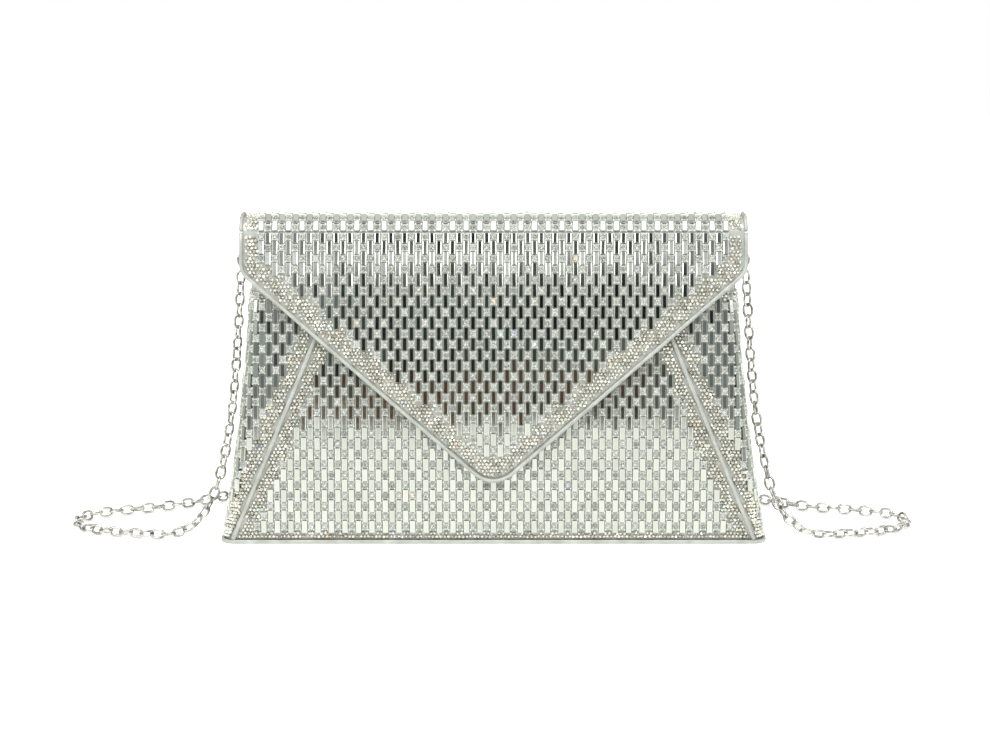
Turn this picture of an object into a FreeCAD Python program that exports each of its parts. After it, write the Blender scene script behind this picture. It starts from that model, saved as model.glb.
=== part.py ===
"""Envelope clutch purse, in millimetres: +X to the wearer's right of the front, -Y forward, +Z up.

The origin is the middle of the underside. The front and back walls are arcs about two long
horizontal axes, so the bag is deep at its base and slim at its mouth, and its sides flare towards
the base. Each wall is a stack of layers, and a layer is named by how far it lies under the tops of
the stones on the front: stones, outer skin, board, lining. The flap is the same stack turned
outwards, hung from a fold strip that arches over the mouth.
"""

import FreeCAD
import Part
import math
import os

V = FreeCAD.Vector

# Body
BASE_HALF_WIDTH = 130.0
TOP_HALF_WIDTH = 114.5
FLARE_POWER = 1.8
CREST_HEIGHT = 155.0
BASE_HALF_DEPTH = 27.0
WALL_ARC_RADIUS = 690.0
WALL_ARC_DROP = 7.2
CORNER_RADIUS = 7.0
LOFT_BOTTOM = -1.0
LOFT_TOP = 150.0
LOFT_SECTIONS = 9
WEDGE_BOTTOM = -5.0

# Layers, counted inwards from the tops of the stones
STONE = 1.6
SKIN = 0.8
BOARD = 1.4
LINING = 0.6
SKIN_OUT = STONE
BOARD_OUT = SKIN_OUT + SKIN
LINING_OUT = BOARD_OUT + BOARD
INSIDE = LINING_OUT + LINING

# Heights on the body
BASE_SKIN_TOP = 0.8
BASE_BOARD_TOP = 2.8
BASE_LINING_TOP = 3.4
BINDING_TOP = 1.8
RIM_HEIGHT = 145.0
RIM_BINDING_TOP = 146.4
RIM_BINDING_END = 2.0
SIDE_STONES_TOP = 120.0

# Seams of the lower front
SEAM_BASE_X = 124.5
SEAM_SLOPE = 0.417
SEAM_WIDTH = 2.6
SIDE_SEAM_WIDTH = 2.4
BOARD_MARGIN = 9.0

# Flap: gap to the body, then lining, board, skin and stones, counted outwards
FLAP_GAP = 0.5
FLAP_LINING = 0.6
FLAP_BOARD = 1.2
FLAP_HALF_WIDTH = 119.4
FLAP_APEX = 25.8
FLAP_EDGE_ANGLE = math.radians(40.6)
FLAP_TIP_RADIUS = 14.0
FLAP_CORNER_RADIUS = 9.4
LEAST_CORNER = 1.0
FLAP_TOP = 147.2
PIPING = 2.3
COVERED_STONES = 12.0

# Fold strip over the mouth
FOLD_HEIGHT = 147.5
FOLD_OUTER_RADIUS = CREST_HEIGHT - FOLD_HEIGHT
FOLD_LINING = 0.8
FOLD_BACK_Y = 2.1
FOLD_STONES_BACK_BOTTOM = 149.5

# Magnetic snap
SNAP_HEIGHT = 52.0
SOCKET_RADIUS = 7.0
SOCKET_HOLE_RADIUS = 3.6
STUD_RADIUS = 6.5
STUD_BOSS_RADIUS = 2.8
WASHER_RADIUS = 6.0
MAGNET_RADIUS = 5.0
SOCKET_SUNK = 0.2
SOCKET_FLOOR = 0.3
MAGNET_GAP = 0.1
STUD_GAP = 0.1
STUD_BOSS_DEPTH = 0.9
WASHER_THICKNESS = 0.6

# Slip pocket
POCKET_HALF_WIDTH = 70.0
POCKET_BOTTOM = 42.0
POCKET_TOP = 108.0
POCKET_HEM = 3.0

# Strap rings
RING_BAR_X = 116.4
RING_BAR_Z = 138.5
RING_RADIUS = 5.5
RING_WIRE = 0.8
RING_LEAN = math.radians(18.0)
END_RING_RADIUS = 3.0
END_RING_WIRE = 0.7
END_RING_DROP = 1.4
EYE_RADIUS = 1.9
EYE_HOLE_RADIUS = 1.1
TAB_HALF_LENGTH = 3.5
TAB_DEPTH = 6.0
TAB_TOP = 145.0
TAB_FACE_X = 115.4
RIVET_Z = 143.0
RIVET_HEAD_RADIUS = 1.6
RIVET_SHANK_RADIUS = 0.8
RIVET_HEAD = 0.7

# Strap chain: width of a link, and the routes of its two free stretches
CHAIN_WIDTH = 5.4
ARC_SHARE = 0.45
COIL_CENTRE_Y = 100.0
COIL_RADIUS = 28.0
COIL_HEIGHT = 16.9
CHAIN_LEFT = [
    (-120.0, 0.0, 126.4), (-121.6, 0.4, 101.0), (-124.9, 0.0, 64.0), (-129.6, -0.6, 36.0),
    (-135.6, -6.0, 14.5), (-147.0, -20.5, 3.0), (-169.2, -19.0, 3.0), (-197.4, -9.0, 3.0),
    (-204.0, 5.4, 3.0), (-198.4, 20.0, 3.0), (-176.0, 29.5, 3.0), (-158.0, 37.0, 3.0),
    (-141.0, 51.0, 3.0), (-124.0, 68.5, 3.0), (-102.0, 79.0, 3.0), (-77.0, 82.0, 3.0),
    (-52.0, 76.0, 3.0), (-28.0, 75.0, 3.0), (-8.0, 72.6, 3.0),
]
CHAIN_RIGHT = [
    (120.0, 0.0, 126.4), (121.7, -0.4, 100.0), (125.1, 0.0, 63.0), (130.2, -0.8, 35.0),
    (135.8, -6.0, 14.0), (147.8, -20.8, 3.0), (169.6, -18.6, 3.0), (195.8, -9.6, 3.0),
    (202.8, 5.0, 3.0), (197.2, 20.0, 3.0), (175.0, 29.0, 3.0), (157.0, 33.6, 3.0),
    (139.4, 45.0, 3.0), (122.0, 63.0, 3.0), (101.0, 77.0, 3.0), (77.0, 82.0, 3.0),
    (54.0, 79.0, 4.6), (30.0, 76.0, 10.0), (8.0, 72.6, 13.8),
]

ARC_CENTRE_Y = math.sqrt(WALL_ARC_RADIUS**2 - WALL_ARC_DROP**2) - BASE_HALF_DEPTH
FLAP_BOARD_IN = FLAP_GAP + FLAP_LINING
FLAP_SKIN_IN = FLAP_BOARD_IN + FLAP_BOARD
FLAP_STONE_IN = FLAP_SKIN_IN + SKIN
FLAP_OUT = FLAP_STONE_IN + STONE
BIG = 400.0
CLOSE = 0.01


def half_depth(z, under=0.0):
    """Half the depth of the body at height z, for the layer that starts so far under the stones."""
    reach = WALL_ARC_RADIUS - under
    return math.sqrt(reach**2 - (z + WALL_ARC_DROP) ** 2) - ARC_CENTRE_Y


def half_width(z):
    """Half the width of the body at height z, which flares towards the base."""
    rise = 1.0 - z / CREST_HEIGHT
    return TOP_HALF_WIDTH + (BASE_HALF_WIDTH - TOP_HALF_WIDTH) * rise**FLARE_POWER


def rounded_section(z, under):
    """One rounded rectangle of the body at height z."""
    a, b = half_width(z) - under, half_depth(z, under)
    r = CORNER_RADIUS - under
    edges = []
    corners = [(1, -1, -90), (1, 1, 0), (-1, 1, 90), (-1, -1, 180)]
    for sx, sy, start in corners:
        centre = V(sx * (a - r), sy * (b - r), z)
        arc = Part.Circle(centre, V(0, 0, 1), r)
        first, last = math.radians(start), math.radians(start + 90)
        edges.append(Part.Arc(arc, first, last).toShape())
    wired = []
    for k, edge in enumerate(edges):
        following = edges[(k + 1) % len(edges)]
        wired += [edge, Part.makeLine(edge.lastVertex().Point, following.firstVertex().Point)]
    return Part.Wire(wired)


def envelope(under):
    """The whole body's solid whose surface lies so far under the stones' tops."""
    step = (LOFT_TOP - LOFT_BOTTOM) / (LOFT_SECTIONS - 1)
    heights = [LOFT_BOTTOM + k * step for k in range(LOFT_SECTIONS)]
    return Part.makeLoft([rounded_section(z, under) for z in heights], True, False)


def box(x0, x1, y0, y1, z0, z1):
    """A box between two corners."""
    return Part.makeBox(x1 - x0, y1 - y0, z1 - z0, V(x0, y0, z0))


def prism(points, y0, y1):
    """A polygon of (x, z) points carried along Y."""
    corners = [V(x, y0, z) for x, z in points]
    return Part.Face(Part.makePolygon(corners + corners[:1])).extrude(V(0, y1 - y0, 0))


def seam_x(z):
    """Where the slanted seam of the lower front lies at height z."""
    return SEAM_BASE_X - SEAM_SLOPE * z


def wedge(grow):
    """The lower front between the slanted seams, widened by grow on each side."""
    low, high = WEDGE_BOTTOM, LOFT_TOP
    points = [(-seam_x(low) - grow, low), (seam_x(low) + grow, low)]
    points += [(seam_x(high) + grow, high), (-seam_x(high) - grow, high)]
    return prism(points, -BIG, 0.0)


def flap_outline(inset):
    """The pointed flap's outline, moved inwards by inset, as a solid that runs along Y."""
    half = FLAP_HALF_WIDTH - inset
    apex = FLAP_APEX + inset / math.cos(FLAP_EDGE_ANGLE)
    corner = apex + half * math.tan(FLAP_EDGE_ANGLE)
    points = [V(-half, -BIG, FLAP_TOP), V(-half, -BIG, corner), V(0, -BIG, apex)]
    points += [V(half, -BIG, corner), V(half, -BIG, FLAP_TOP)]
    face = Part.Face(Part.makePolygon(points + points[:1]))
    solid = face.extrude(V(0, BIG, 0))
    rounds = [(half, max(FLAP_CORNER_RADIUS - inset, LEAST_CORNER)), (0.0, FLAP_TIP_RADIUS - inset)]
    for at, radius in rounds:
        along_y = [
            edge
            for edge in solid.Edges
            if abs(abs(edge.CenterOfMass.x) - at) < CLOSE
            and edge.CenterOfMass.z < FLAP_TOP - CLOSE
            and abs(edge.CenterOfMass.y + BIG / 2) < CLOSE
        ]
        solid = solid.makeFillet(radius, along_y)
    return solid


def flap_layer(inner, outer):
    """The part of the flap's stack between two distances outside the body's stones."""
    shell = [
        Part.makeCylinder(
            WALL_ARC_RADIUS + out, 2 * BIG, V(-BIG, ARC_CENTRE_Y, -WALL_ARC_DROP), V(1, 0, 0)
        )
        for out in (outer, inner)
    ]
    return shell[0].cut(shell[1])


def arch(radius, half_length):
    """The fold strip's outside at one radius: two quarter rounds joined by a flat crown."""
    front = half_depth(FOLD_HEIGHT) + FLAP_OUT
    front_y = FOLD_OUTER_RADIUS - front
    diagonal = radius / math.sqrt(2.0)
    x, z = -half_length, FOLD_HEIGHT
    points = [V(x, front_y - radius, z), V(x, front_y - diagonal, z + diagonal)]
    points += [V(x, front_y, z + radius), V(x, FOLD_BACK_Y, z + radius)]
    points += [V(x, FOLD_BACK_Y + diagonal, z + diagonal), V(x, FOLD_BACK_Y + radius, z)]
    edges = [
        Part.Arc(points[0], points[1], points[2]).toShape(),
        Part.makeLine(points[2], points[3]),
        Part.Arc(points[3], points[4], points[5]).toShape(),
        Part.makeLine(points[5], points[0]),
    ]
    return Part.Face(Part.Wire(edges)).extrude(V(2 * half_length, 0, 0))


def on_front(distance):
    """A point on the front's middle line at the snap's height, and the outward direction there."""
    lean = math.asin((SNAP_HEIGHT + WALL_ARC_DROP) / WALL_ARC_RADIUS)
    out = V(0, -math.cos(lean), math.sin(lean))
    centre = V(0, ARC_CENTRE_Y, -WALL_ARC_DROP)
    return centre + out * (WALL_ARC_RADIUS + distance), out


def snap_disc(radius, start, end):
    """A round plate of the snap, between two distances outside the body's stones."""
    base, out = on_front(start)
    return Part.makeCylinder(radius, end - start, base, out)


def chain_tube(name, route):
    """A round tube of straight runs joined by tangent arcs, as wide as the chain's links."""
    points = [V(*p) for p in route]
    edges, radii, start = [], [], points[0]
    for before, here, after in zip(points, points[1:], points[2:]):
        back, ahead = before - here, after - here
        turn = math.pi - back.getAngle(ahead)
        inset = ARC_SHARE * min(back.Length, ahead.Length)
        radii.append(inset / math.tan(turn / 2))
        back.normalize()
        ahead.normalize()
        first, last = here + back * inset, here + ahead * inset
        towards = back + ahead
        towards.normalize()
        middle = here + towards * (radii[-1] / math.cos(turn / 2) - radii[-1])
        edges += [Part.LineSegment(start, first).toShape(), Part.Arc(first, middle, last).toShape()]
        start = last
    edges.append(Part.LineSegment(start, points[-1]).toShape())
    path = Part.Wire(edges)
    ring = Part.Circle(points[0], points[1] - points[0], CHAIN_WIDTH / 2)
    tube = path.makePipeShell([Part.Wire([ring.toShape()])], True, False)
    expected = math.pi * (CHAIN_WIDTH / 2) ** 2 * path.Length
    print(name, "length", round(path.Length, 1), "least radius", round(min(radii), 1),
          "volume ratio", round(tube.Volume / expected, 4))
    return tube


def base_parts(body):
    """The base: outer skin, board, lining and the binding round its edge."""
    slab = {
        "base_skin": (SKIN_OUT, 0.0, BASE_SKIN_TOP),
        "base_board": (LINING_OUT, BASE_SKIN_TOP, BASE_BOARD_TOP),
        "base_lining": (LINING_OUT, BASE_BOARD_TOP, BASE_LINING_TOP),
    }
    parts = {}
    for name, (under, low, high) in slab.items():
        parts[name] = body[under].common(box(-BIG, BIG, -BIG, BIG, low, high))
    ring = body[0.0].cut(body[SKIN_OUT])
    parts["base_binding"] = ring.common(box(-BIG, BIG, -BIG, BIG, 0.0, BINDING_TOP))
    return parts


def wall_parts(body):
    """The walls: outer skin panels, boards, side foam, linings and the rim's binding."""
    skin = body[SKIN_OUT].cut(body[BOARD_OUT])
    board = body[BOARD_OUT].cut(body[LINING_OUT])
    lining = body[LINING_OUT].cut(body[INSIDE])
    front = box(-BIG, BIG, -BIG, 0.0, BASE_SKIN_TOP, RIM_HEIGHT)
    back = box(-BIG, BIG, 0.0, BIG, BASE_SKIN_TOP, RIM_HEIGHT)
    back_high = box(-BIG, BIG, 0.0, BIG, BASE_SKIN_TOP, FLAP_TOP)
    inner = box(-BIG, BIG, -BIG, BIG, BASE_LINING_TOP, RIM_HEIGHT)
    socket = snap_disc(SOCKET_RADIUS, -SKIN_OUT, -SOCKET_SUNK)
    magnet = snap_disc(MAGNET_RADIUS, -LINING_OUT + MAGNET_GAP, -BOARD_OUT - MAGNET_GAP)
    middle = wedge(0.0)
    sides = skin.common(front).cut(middle)
    width = TOP_HALF_WIDTH - BOARD_MARGIN
    flat = prism([(-BASE_HALF_WIDTH + BOARD_MARGIN, 0), (BASE_HALF_WIDTH - BOARD_MARGIN, 0),
                  (width, LOFT_TOP), (-width, LOFT_TOP)], -BIG, BIG)
    foam = board.cut(flat).common(front.fuse(back))
    parts = {
        "front_panel_centre": skin.common(front).common(middle).cut(socket),
        "front_panel_left": sides.common(box(-BIG, 0, -BIG, 0, 0, LOFT_TOP)),
        "front_panel_right": sides.common(box(0, BIG, -BIG, 0, 0, LOFT_TOP)),
        "back_panel": skin.common(back_high),
        "front_board": board.common(front).common(flat).cut(magnet),
        "back_board": board.common(back).common(flat),
        "side_foam_left": foam.common(box(-BIG, 0, -BIG, BIG, 0, LOFT_TOP)),
        "side_foam_right": foam.common(box(0, BIG, -BIG, BIG, 0, LOFT_TOP)),
        "front_lining": lining.common(inner).common(front),
        "back_lining": lining.common(inner).common(back),
        "snap_socket": socket.cut(snap_disc(SOCKET_HOLE_RADIUS, SOCKET_FLOOR - SKIN_OUT, STONE)),
        "snap_magnet": magnet,
    }
    rim = body[SKIN_OUT].cut(body[INSIDE])
    reach = half_depth(RIM_HEIGHT, BOARD_OUT) - RIM_BINDING_END
    parts["rim_binding"] = rim.common(box(-BIG, BIG, -BIG, reach, RIM_HEIGHT, RIM_BINDING_TOP))
    parts["rim_binding"] = parts["rim_binding"].cut(parts["back_panel"])
    pocket = body[INSIDE].cut(body[INSIDE + LINING])
    hem = body[INSIDE].cut(body[INSIDE + 2 * LINING])
    half = POCKET_HALF_WIDTH
    parts["slip_pocket"] = pocket.common(box(-half, half, 0, BIG, POCKET_BOTTOM, POCKET_TOP))
    hem_box = box(-half, half, 0, BIG, POCKET_TOP, POCKET_TOP + POCKET_HEM)
    parts["pocket_hem"] = hem.common(hem_box)
    return parts


def front_stone_parts(body):
    """The sheets of stones on the lower front and sides, and the strips that cover the seams."""
    layer = body[0.0].cut(body[SKIN_OUT])
    covered = flap_outline(COVERED_STONES)
    front = box(-BIG, BIG, -BIG, 0, BINDING_TOP, RIM_HEIGHT)
    side_seam = box(-BIG, BIG, -SIDE_SEAM_WIDTH / 2, SIDE_SEAM_WIDTH / 2, BINDING_TOP,
                    SIDE_STONES_TOP)
    half = SEAM_WIDTH / 2
    stones = layer.common(front).cut(covered)
    outer = stones.common(box(-BIG, BIG, -BIG, -SIDE_SEAM_WIDTH / 2, 0, SIDE_STONES_TOP))
    outer = outer.cut(wedge(half))
    seams = stones.common(wedge(half)).cut(wedge(-half))
    sides = layer.common(side_seam)
    left, right = box(-BIG, 0, -BIG, BIG, 0, LOFT_TOP), box(0, BIG, -BIG, BIG, 0, LOFT_TOP)
    return {
        "front_stones_centre": stones.common(wedge(-half)),
        "front_stones_left": outer.common(left),
        "front_stones_right": outer.common(right),
        "seam_piping_left": seams.common(left),
        "seam_piping_right": seams.common(right),
        "side_piping_left": sides.common(left),
        "side_piping_right": sides.common(right),
    }


def flap_parts():
    """The flap: lining, board, skin, stones and edge piping, with the stud of the snap."""
    edge, inside = flap_outline(0.0), flap_outline(PIPING)
    stud = snap_disc(STUD_RADIUS, STUD_GAP, FLAP_BOARD_IN)
    stud = stud.fuse(snap_disc(STUD_BOSS_RADIUS, -STUD_BOSS_DEPTH, STUD_GAP)).removeSplitter()
    washer_in = FLAP_BOARD_IN + STUD_GAP
    washer = snap_disc(WASHER_RADIUS, washer_in, washer_in + WASHER_THICKNESS)
    return {
        "flap_lining": flap_layer(FLAP_GAP, FLAP_BOARD_IN).common(inside).cut(stud),
        "flap_board": flap_layer(FLAP_BOARD_IN, FLAP_SKIN_IN).common(inside).cut(washer).cut(stud),
        "flap_skin": flap_layer(FLAP_SKIN_IN, FLAP_STONE_IN).common(inside),
        "flap_stones": flap_layer(FLAP_STONE_IN, FLAP_OUT).common(inside),
        "flap_piping": flap_layer(FLAP_GAP, FLAP_OUT).common(edge.cut(inside)),
        "snap_stud": stud,
        "snap_stud_washer": washer,
    }


def fold_parts():
    """The fold strip over the mouth: lining, skin, stones and the piping at its two ends."""
    half = FLAP_HALF_WIDTH - PIPING
    radii = [FOLD_OUTER_RADIUS, FOLD_OUTER_RADIUS - STONE, FOLD_OUTER_RADIUS - STONE - SKIN]
    radii.append(radii[-1] - FOLD_LINING)
    shells = [arch(a, half).cut(arch(b, half)) for a, b in zip(radii, radii[1:])]
    whole = arch(radii[0], FLAP_HALF_WIDTH).cut(arch(radii[-1], FLAP_HALF_WIDTH))
    bare = box(-BIG, BIG, FOLD_BACK_Y, BIG, 0, FOLD_STONES_BACK_BOTTOM)
    outside = arch(radii[0], FLAP_HALF_WIDTH).cut(arch(radii[1], FLAP_HALF_WIDTH))
    return {
        "fold_stones": shells[0].cut(bare),
        "fold_skin": shells[1],
        "fold_lining": shells[2],
        "fold_piping": whole.cut(box(-half, half, -BIG, BIG, 0, BIG)).cut(outside.common(bare)),
    }


def ring_parts(side, name, body):
    """A strap ring in its tab, with the rivet of the tab and the end ring of the chain."""
    bar = V(side * RING_BAR_X, 0, RING_BAR_Z)
    down = V(side * math.sin(RING_LEAN), 0, -math.cos(RING_LEAN))
    plane = down.cross(V(0, 1, 0))
    ring = Part.makeTorus(RING_RADIUS, RING_WIRE, bar, plane)
    room = 2 * RING_RADIUS
    lower = Part.makeBox(2 * room, 2 * room, room, V(-room, -room, 0))
    lower.Placement = FreeCAD.Placement(bar, FreeCAD.Rotation(V(0, 0, 1), down)).multiply(
        lower.Placement
    )
    bow = ring.common(lower)
    rod = Part.makeCylinder(RING_WIRE, 2 * RING_RADIUS, bar - V(0, RING_RADIUS, 0), V(0, 1, 0))
    ends = [Part.makeSphere(RING_WIRE, bar + V(0, s * RING_RADIUS, 0)) for s in (-1, 1)]
    strap_ring = bow.fuse([rod] + ends)
    centre = bar + down * (RING_RADIUS + END_RING_DROP)
    end_ring = Part.makeTorus(END_RING_RADIUS, END_RING_WIRE, centre, V(0, 1, 0))
    start = bar - V(0, TAB_HALF_LENGTH, 0)
    length = 2 * TAB_HALF_LENGTH
    eye = Part.makeCylinder(EYE_RADIUS, length, start, V(0, 1, 0))
    hole = Part.makeCylinder(EYE_HOLE_RADIUS, length, start, V(0, 1, 0))
    inner_x, outer_x = sorted([side * (RING_BAR_X - TAB_DEPTH), side * TAB_FACE_X])
    plate = box(inner_x, outer_x, -TAB_HALF_LENGTH, TAB_HALF_LENGTH,
                RING_BAR_Z - EYE_RADIUS, TAB_TOP)
    head = Part.makeCylinder(RIVET_HEAD_RADIUS, RIVET_HEAD, V(side * TAB_FACE_X, 0, RIVET_Z),
                             V(side, 0, 0))
    shank = Part.makeCylinder(RIVET_SHANK_RADIUS, TAB_DEPTH, V(side * TAB_FACE_X, 0, RIVET_Z),
                              V(-side, 0, 0)).cut(body[SKIN_OUT])
    tab = plate.fuse(eye).cut(hole).cut(body[SKIN_OUT]).cut(shank)
    return {
        "ring_tab_" + name: tab,
        "tab_rivet_" + name: head.fuse(shank),
        "strap_ring_" + name: strap_ring,
        "end_ring_" + name: end_ring,
    }


def chain_parts():
    """The strap chain: two free stretches and the coil of its spare length behind the bag."""
    centre = V(0, COIL_CENTRE_Y, 0)
    coil = Part.makeCylinder(COIL_RADIUS + CHAIN_WIDTH / 2, COIL_HEIGHT, centre)
    core = Part.makeCylinder(COIL_RADIUS - CHAIN_WIDTH / 2, COIL_HEIGHT, centre)
    return {
        "chain_left": chain_tube("chain_left", CHAIN_LEFT),
        "chain_coil": coil.cut(core),
        "chain_right": chain_tube("chain_right", CHAIN_RIGHT),
    }


def main():
    """Build every piece and write it as its own STEP file."""
    depths = [0.0, SKIN_OUT, BOARD_OUT, LINING_OUT, INSIDE, INSIDE + LINING, INSIDE + 2 * LINING]
    body = {under: envelope(under) for under in depths}
    parts = {}
    parts.update(base_parts(body))
    parts.update(wall_parts(body))
    parts.update(front_stone_parts(body))
    parts.update(flap_parts())
    parts.update(fold_parts())
    parts.update(ring_parts(-1, "left", body))
    parts.update(ring_parts(1, "right", body))
    parts.update(chain_parts())
    os.makedirs("parts", exist_ok=True)
    for name, shape in parts.items():
        solids = shape.Solids
        whole = solids[0] if len(solids) == 1 else Part.makeCompound(solids)
        print(name, "solids", len(solids), "volume", round(whole.Volume, 1), whole.isValid())
        whole.exportStep(os.path.join("parts", name + ".step"))


main()
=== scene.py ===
"""Envelope clutch purse: the visible skins, stones, linings, metal and chain around the fixed frame.

Shapes are worked out in millimetres in the frame's own axes (+X right, -Y forward, +Z up) and are
turned to metres when a mesh is made. The front and back walls are arcs about long horizontal axes,
and a layer is placed by how far it stands out from the tops of the stones on the body.
"""

import logging
import math
from dataclasses import dataclass, field
from enum import Enum
from typing import Callable

import bmesh
import bpy
import numpy as np
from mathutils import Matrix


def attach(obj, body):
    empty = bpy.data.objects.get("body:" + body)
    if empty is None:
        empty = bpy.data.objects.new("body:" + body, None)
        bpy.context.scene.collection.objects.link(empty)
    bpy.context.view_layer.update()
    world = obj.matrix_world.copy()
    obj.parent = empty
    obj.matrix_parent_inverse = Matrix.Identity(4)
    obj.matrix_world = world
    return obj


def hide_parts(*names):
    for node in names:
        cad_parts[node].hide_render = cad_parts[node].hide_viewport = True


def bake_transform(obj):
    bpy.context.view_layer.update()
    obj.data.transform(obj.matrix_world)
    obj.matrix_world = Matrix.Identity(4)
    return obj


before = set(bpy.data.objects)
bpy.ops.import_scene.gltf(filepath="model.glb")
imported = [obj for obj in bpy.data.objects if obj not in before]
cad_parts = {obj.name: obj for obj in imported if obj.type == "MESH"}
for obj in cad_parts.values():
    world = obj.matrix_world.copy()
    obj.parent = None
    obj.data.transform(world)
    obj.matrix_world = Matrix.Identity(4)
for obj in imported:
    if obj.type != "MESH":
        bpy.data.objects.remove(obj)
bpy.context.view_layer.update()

LOG = logging.getLogger("clutch")
MM = 0.001
SEED = 7
# Room left at the fold: on the leaning flap a stone's top stands about 0.36 higher than its base.
FOLD_CLEARANCE = 0.45


class Stone(Enum):
    """The kinds of stone on the bag, with the silvered cup and the prongs that hold each round one."""

    BAGUETTE = "baguette"
    ROUND = "round"
    CUP = "cup"
    CRYSTAL = "crystal"
    PRONG = "setting"


# ---------------------------------------------------------------- colour and shader helpers


def linear(code: str, alpha: float = 1.0) -> tuple[float, float, float, float]:
    """Turn an sRGB hex code into the linear colour that a shader takes.

    Args:
        code: Six hex digits, with or without a leading hash.
        alpha: Opacity of the colour.

    Returns:
        Red, green, blue and alpha, linear.
    """
    raw = [int(code.lstrip("#")[k : k + 2], 16) / 255 for k in (0, 2, 4)]
    red, green, blue = ((c / 12.92 if c <= 0.04045 else ((c + 0.055) / 1.055) ** 2.4) for c in raw)
    return (red, green, blue, alpha)


def add_node(tree: bpy.types.NodeTree, kind: str, settings: dict | None = None, **links) -> bpy.types.Node:
    """Add one node, with its settings and the values or links of its inputs.

    Args:
        tree: The node tree that gets the node.
        kind: The node's type name.
        settings: Attributes of the node itself, such as an operation.
        **links: Inputs by name, with underscores for spaces, or in<k> for the input at index k;
            each is a value or another node's output socket.

    Returns:
        The new node.
    """
    node = tree.nodes.new(kind)
    for key, value in (settings or {}).items():
        setattr(node, key, value)
    for key, value in links.items():
        by_index = key.startswith("in") and key[2:].isdigit()
        socket = node.inputs[int(key[2:])] if by_index else node.inputs[key.replace("_", " ")]
        if isinstance(value, bpy.types.NodeSocket):
            tree.links.new(value, socket)
        else:
            socket.default_value = value
    return node


def ramp(tree: bpy.types.NodeTree, factor: bpy.types.NodeSocket,
         stops: list[tuple[float, str]]) -> bpy.types.NodeSocket:
    """Add a colour ramp.

    Args:
        tree: The node tree.
        factor: The socket that drives the ramp.
        stops: Position and hex colour of each stop, in order.

    Returns:
        The ramp's colour socket.
    """
    node = add_node(tree, "ShaderNodeValToRGB", in0=factor)
    elements = node.color_ramp.elements
    while len(elements) < len(stops):
        elements.new(1.0)
    for element, (position, code) in zip(elements, stops):
        element.position = position
        element.color = linear(code)
    return node.outputs["Color"]


def fade(tree: bpy.types.NodeTree, value: bpy.types.NodeSocket, start: float, end: float,
         highest: float = 1.0) -> bpy.types.NodeSocket:
    """Rise smoothly from zero to the highest share as a value goes from start to end.

    Args:
        tree: The node tree.
        value: The socket that is followed.
        start: The value at which the share leaves zero.
        end: The value at which the share is full; it may be below the start.
        highest: The full share.

    Returns:
        The share's socket.
    """
    node = add_node(tree, "ShaderNodeMapRange", {"interpolation_type": "SMOOTHSTEP"}, Value=value)
    set_inputs(tree, node, {"From Min": start, "From Max": end, "To Max": highest})
    return node.outputs[0]


def reckon(tree: bpy.types.NodeTree, operation: str, *values) -> bpy.types.NodeSocket:
    """Add a node of arithmetic.

    Args:
        tree: The node tree.
        operation: The operation's name.
        *values: Its numbers or sockets in order.

    Returns:
        The result's socket.
    """
    links = {f"in{k}": value for k, value in enumerate(values)}
    return add_node(tree, "ShaderNodeMath", {"operation": operation}, **links).outputs[0]


def blended(tree: bpy.types.NodeTree, share, first, second, how: str = "MIX") -> bpy.types.NodeSocket:
    """Blend two colours.

    Args:
        tree: The node tree.
        share: How much of the second colour, from 0 to 1, as a number or a socket.
        first: The first colour or its socket.
        second: The second colour or its socket.
        how: The way of blending.

    Returns:
        The colour's socket.
    """
    settings = {"data_type": "RGBA", "blend_type": how}
    return add_node(tree, "ShaderNodeMix", settings, in0=share, in6=first, in7=second).outputs[2]


def new_material(name: str) -> tuple[bpy.types.Material, bpy.types.NodeTree, bpy.types.Node]:
    """Start a material with an empty tree and one Principled shader.

    Args:
        name: The real finish's name.

    Returns:
        The material, its node tree and its Principled node.
    """
    material = bpy.data.materials.new(name)
    material.use_nodes = True
    tree = material.node_tree
    tree.nodes.clear()
    shader = add_node(tree, "ShaderNodeBsdfPrincipled")
    add_node(tree, "ShaderNodeOutputMaterial", Surface=shader.outputs["BSDF"])
    return material, tree, shader


def set_inputs(tree: bpy.types.NodeTree, node: bpy.types.Node, values: dict) -> None:
    """Set or link a node's named inputs.

    Args:
        tree: The node tree.
        node: The node to set.
        values: Input name to value or output socket.
    """
    for name, value in values.items():
        if isinstance(value, bpy.types.NodeSocket):
            tree.links.new(value, node.inputs[name])
        else:
            node.inputs[name].default_value = value


# ---------------------------------------------------------------- finishes


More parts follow.
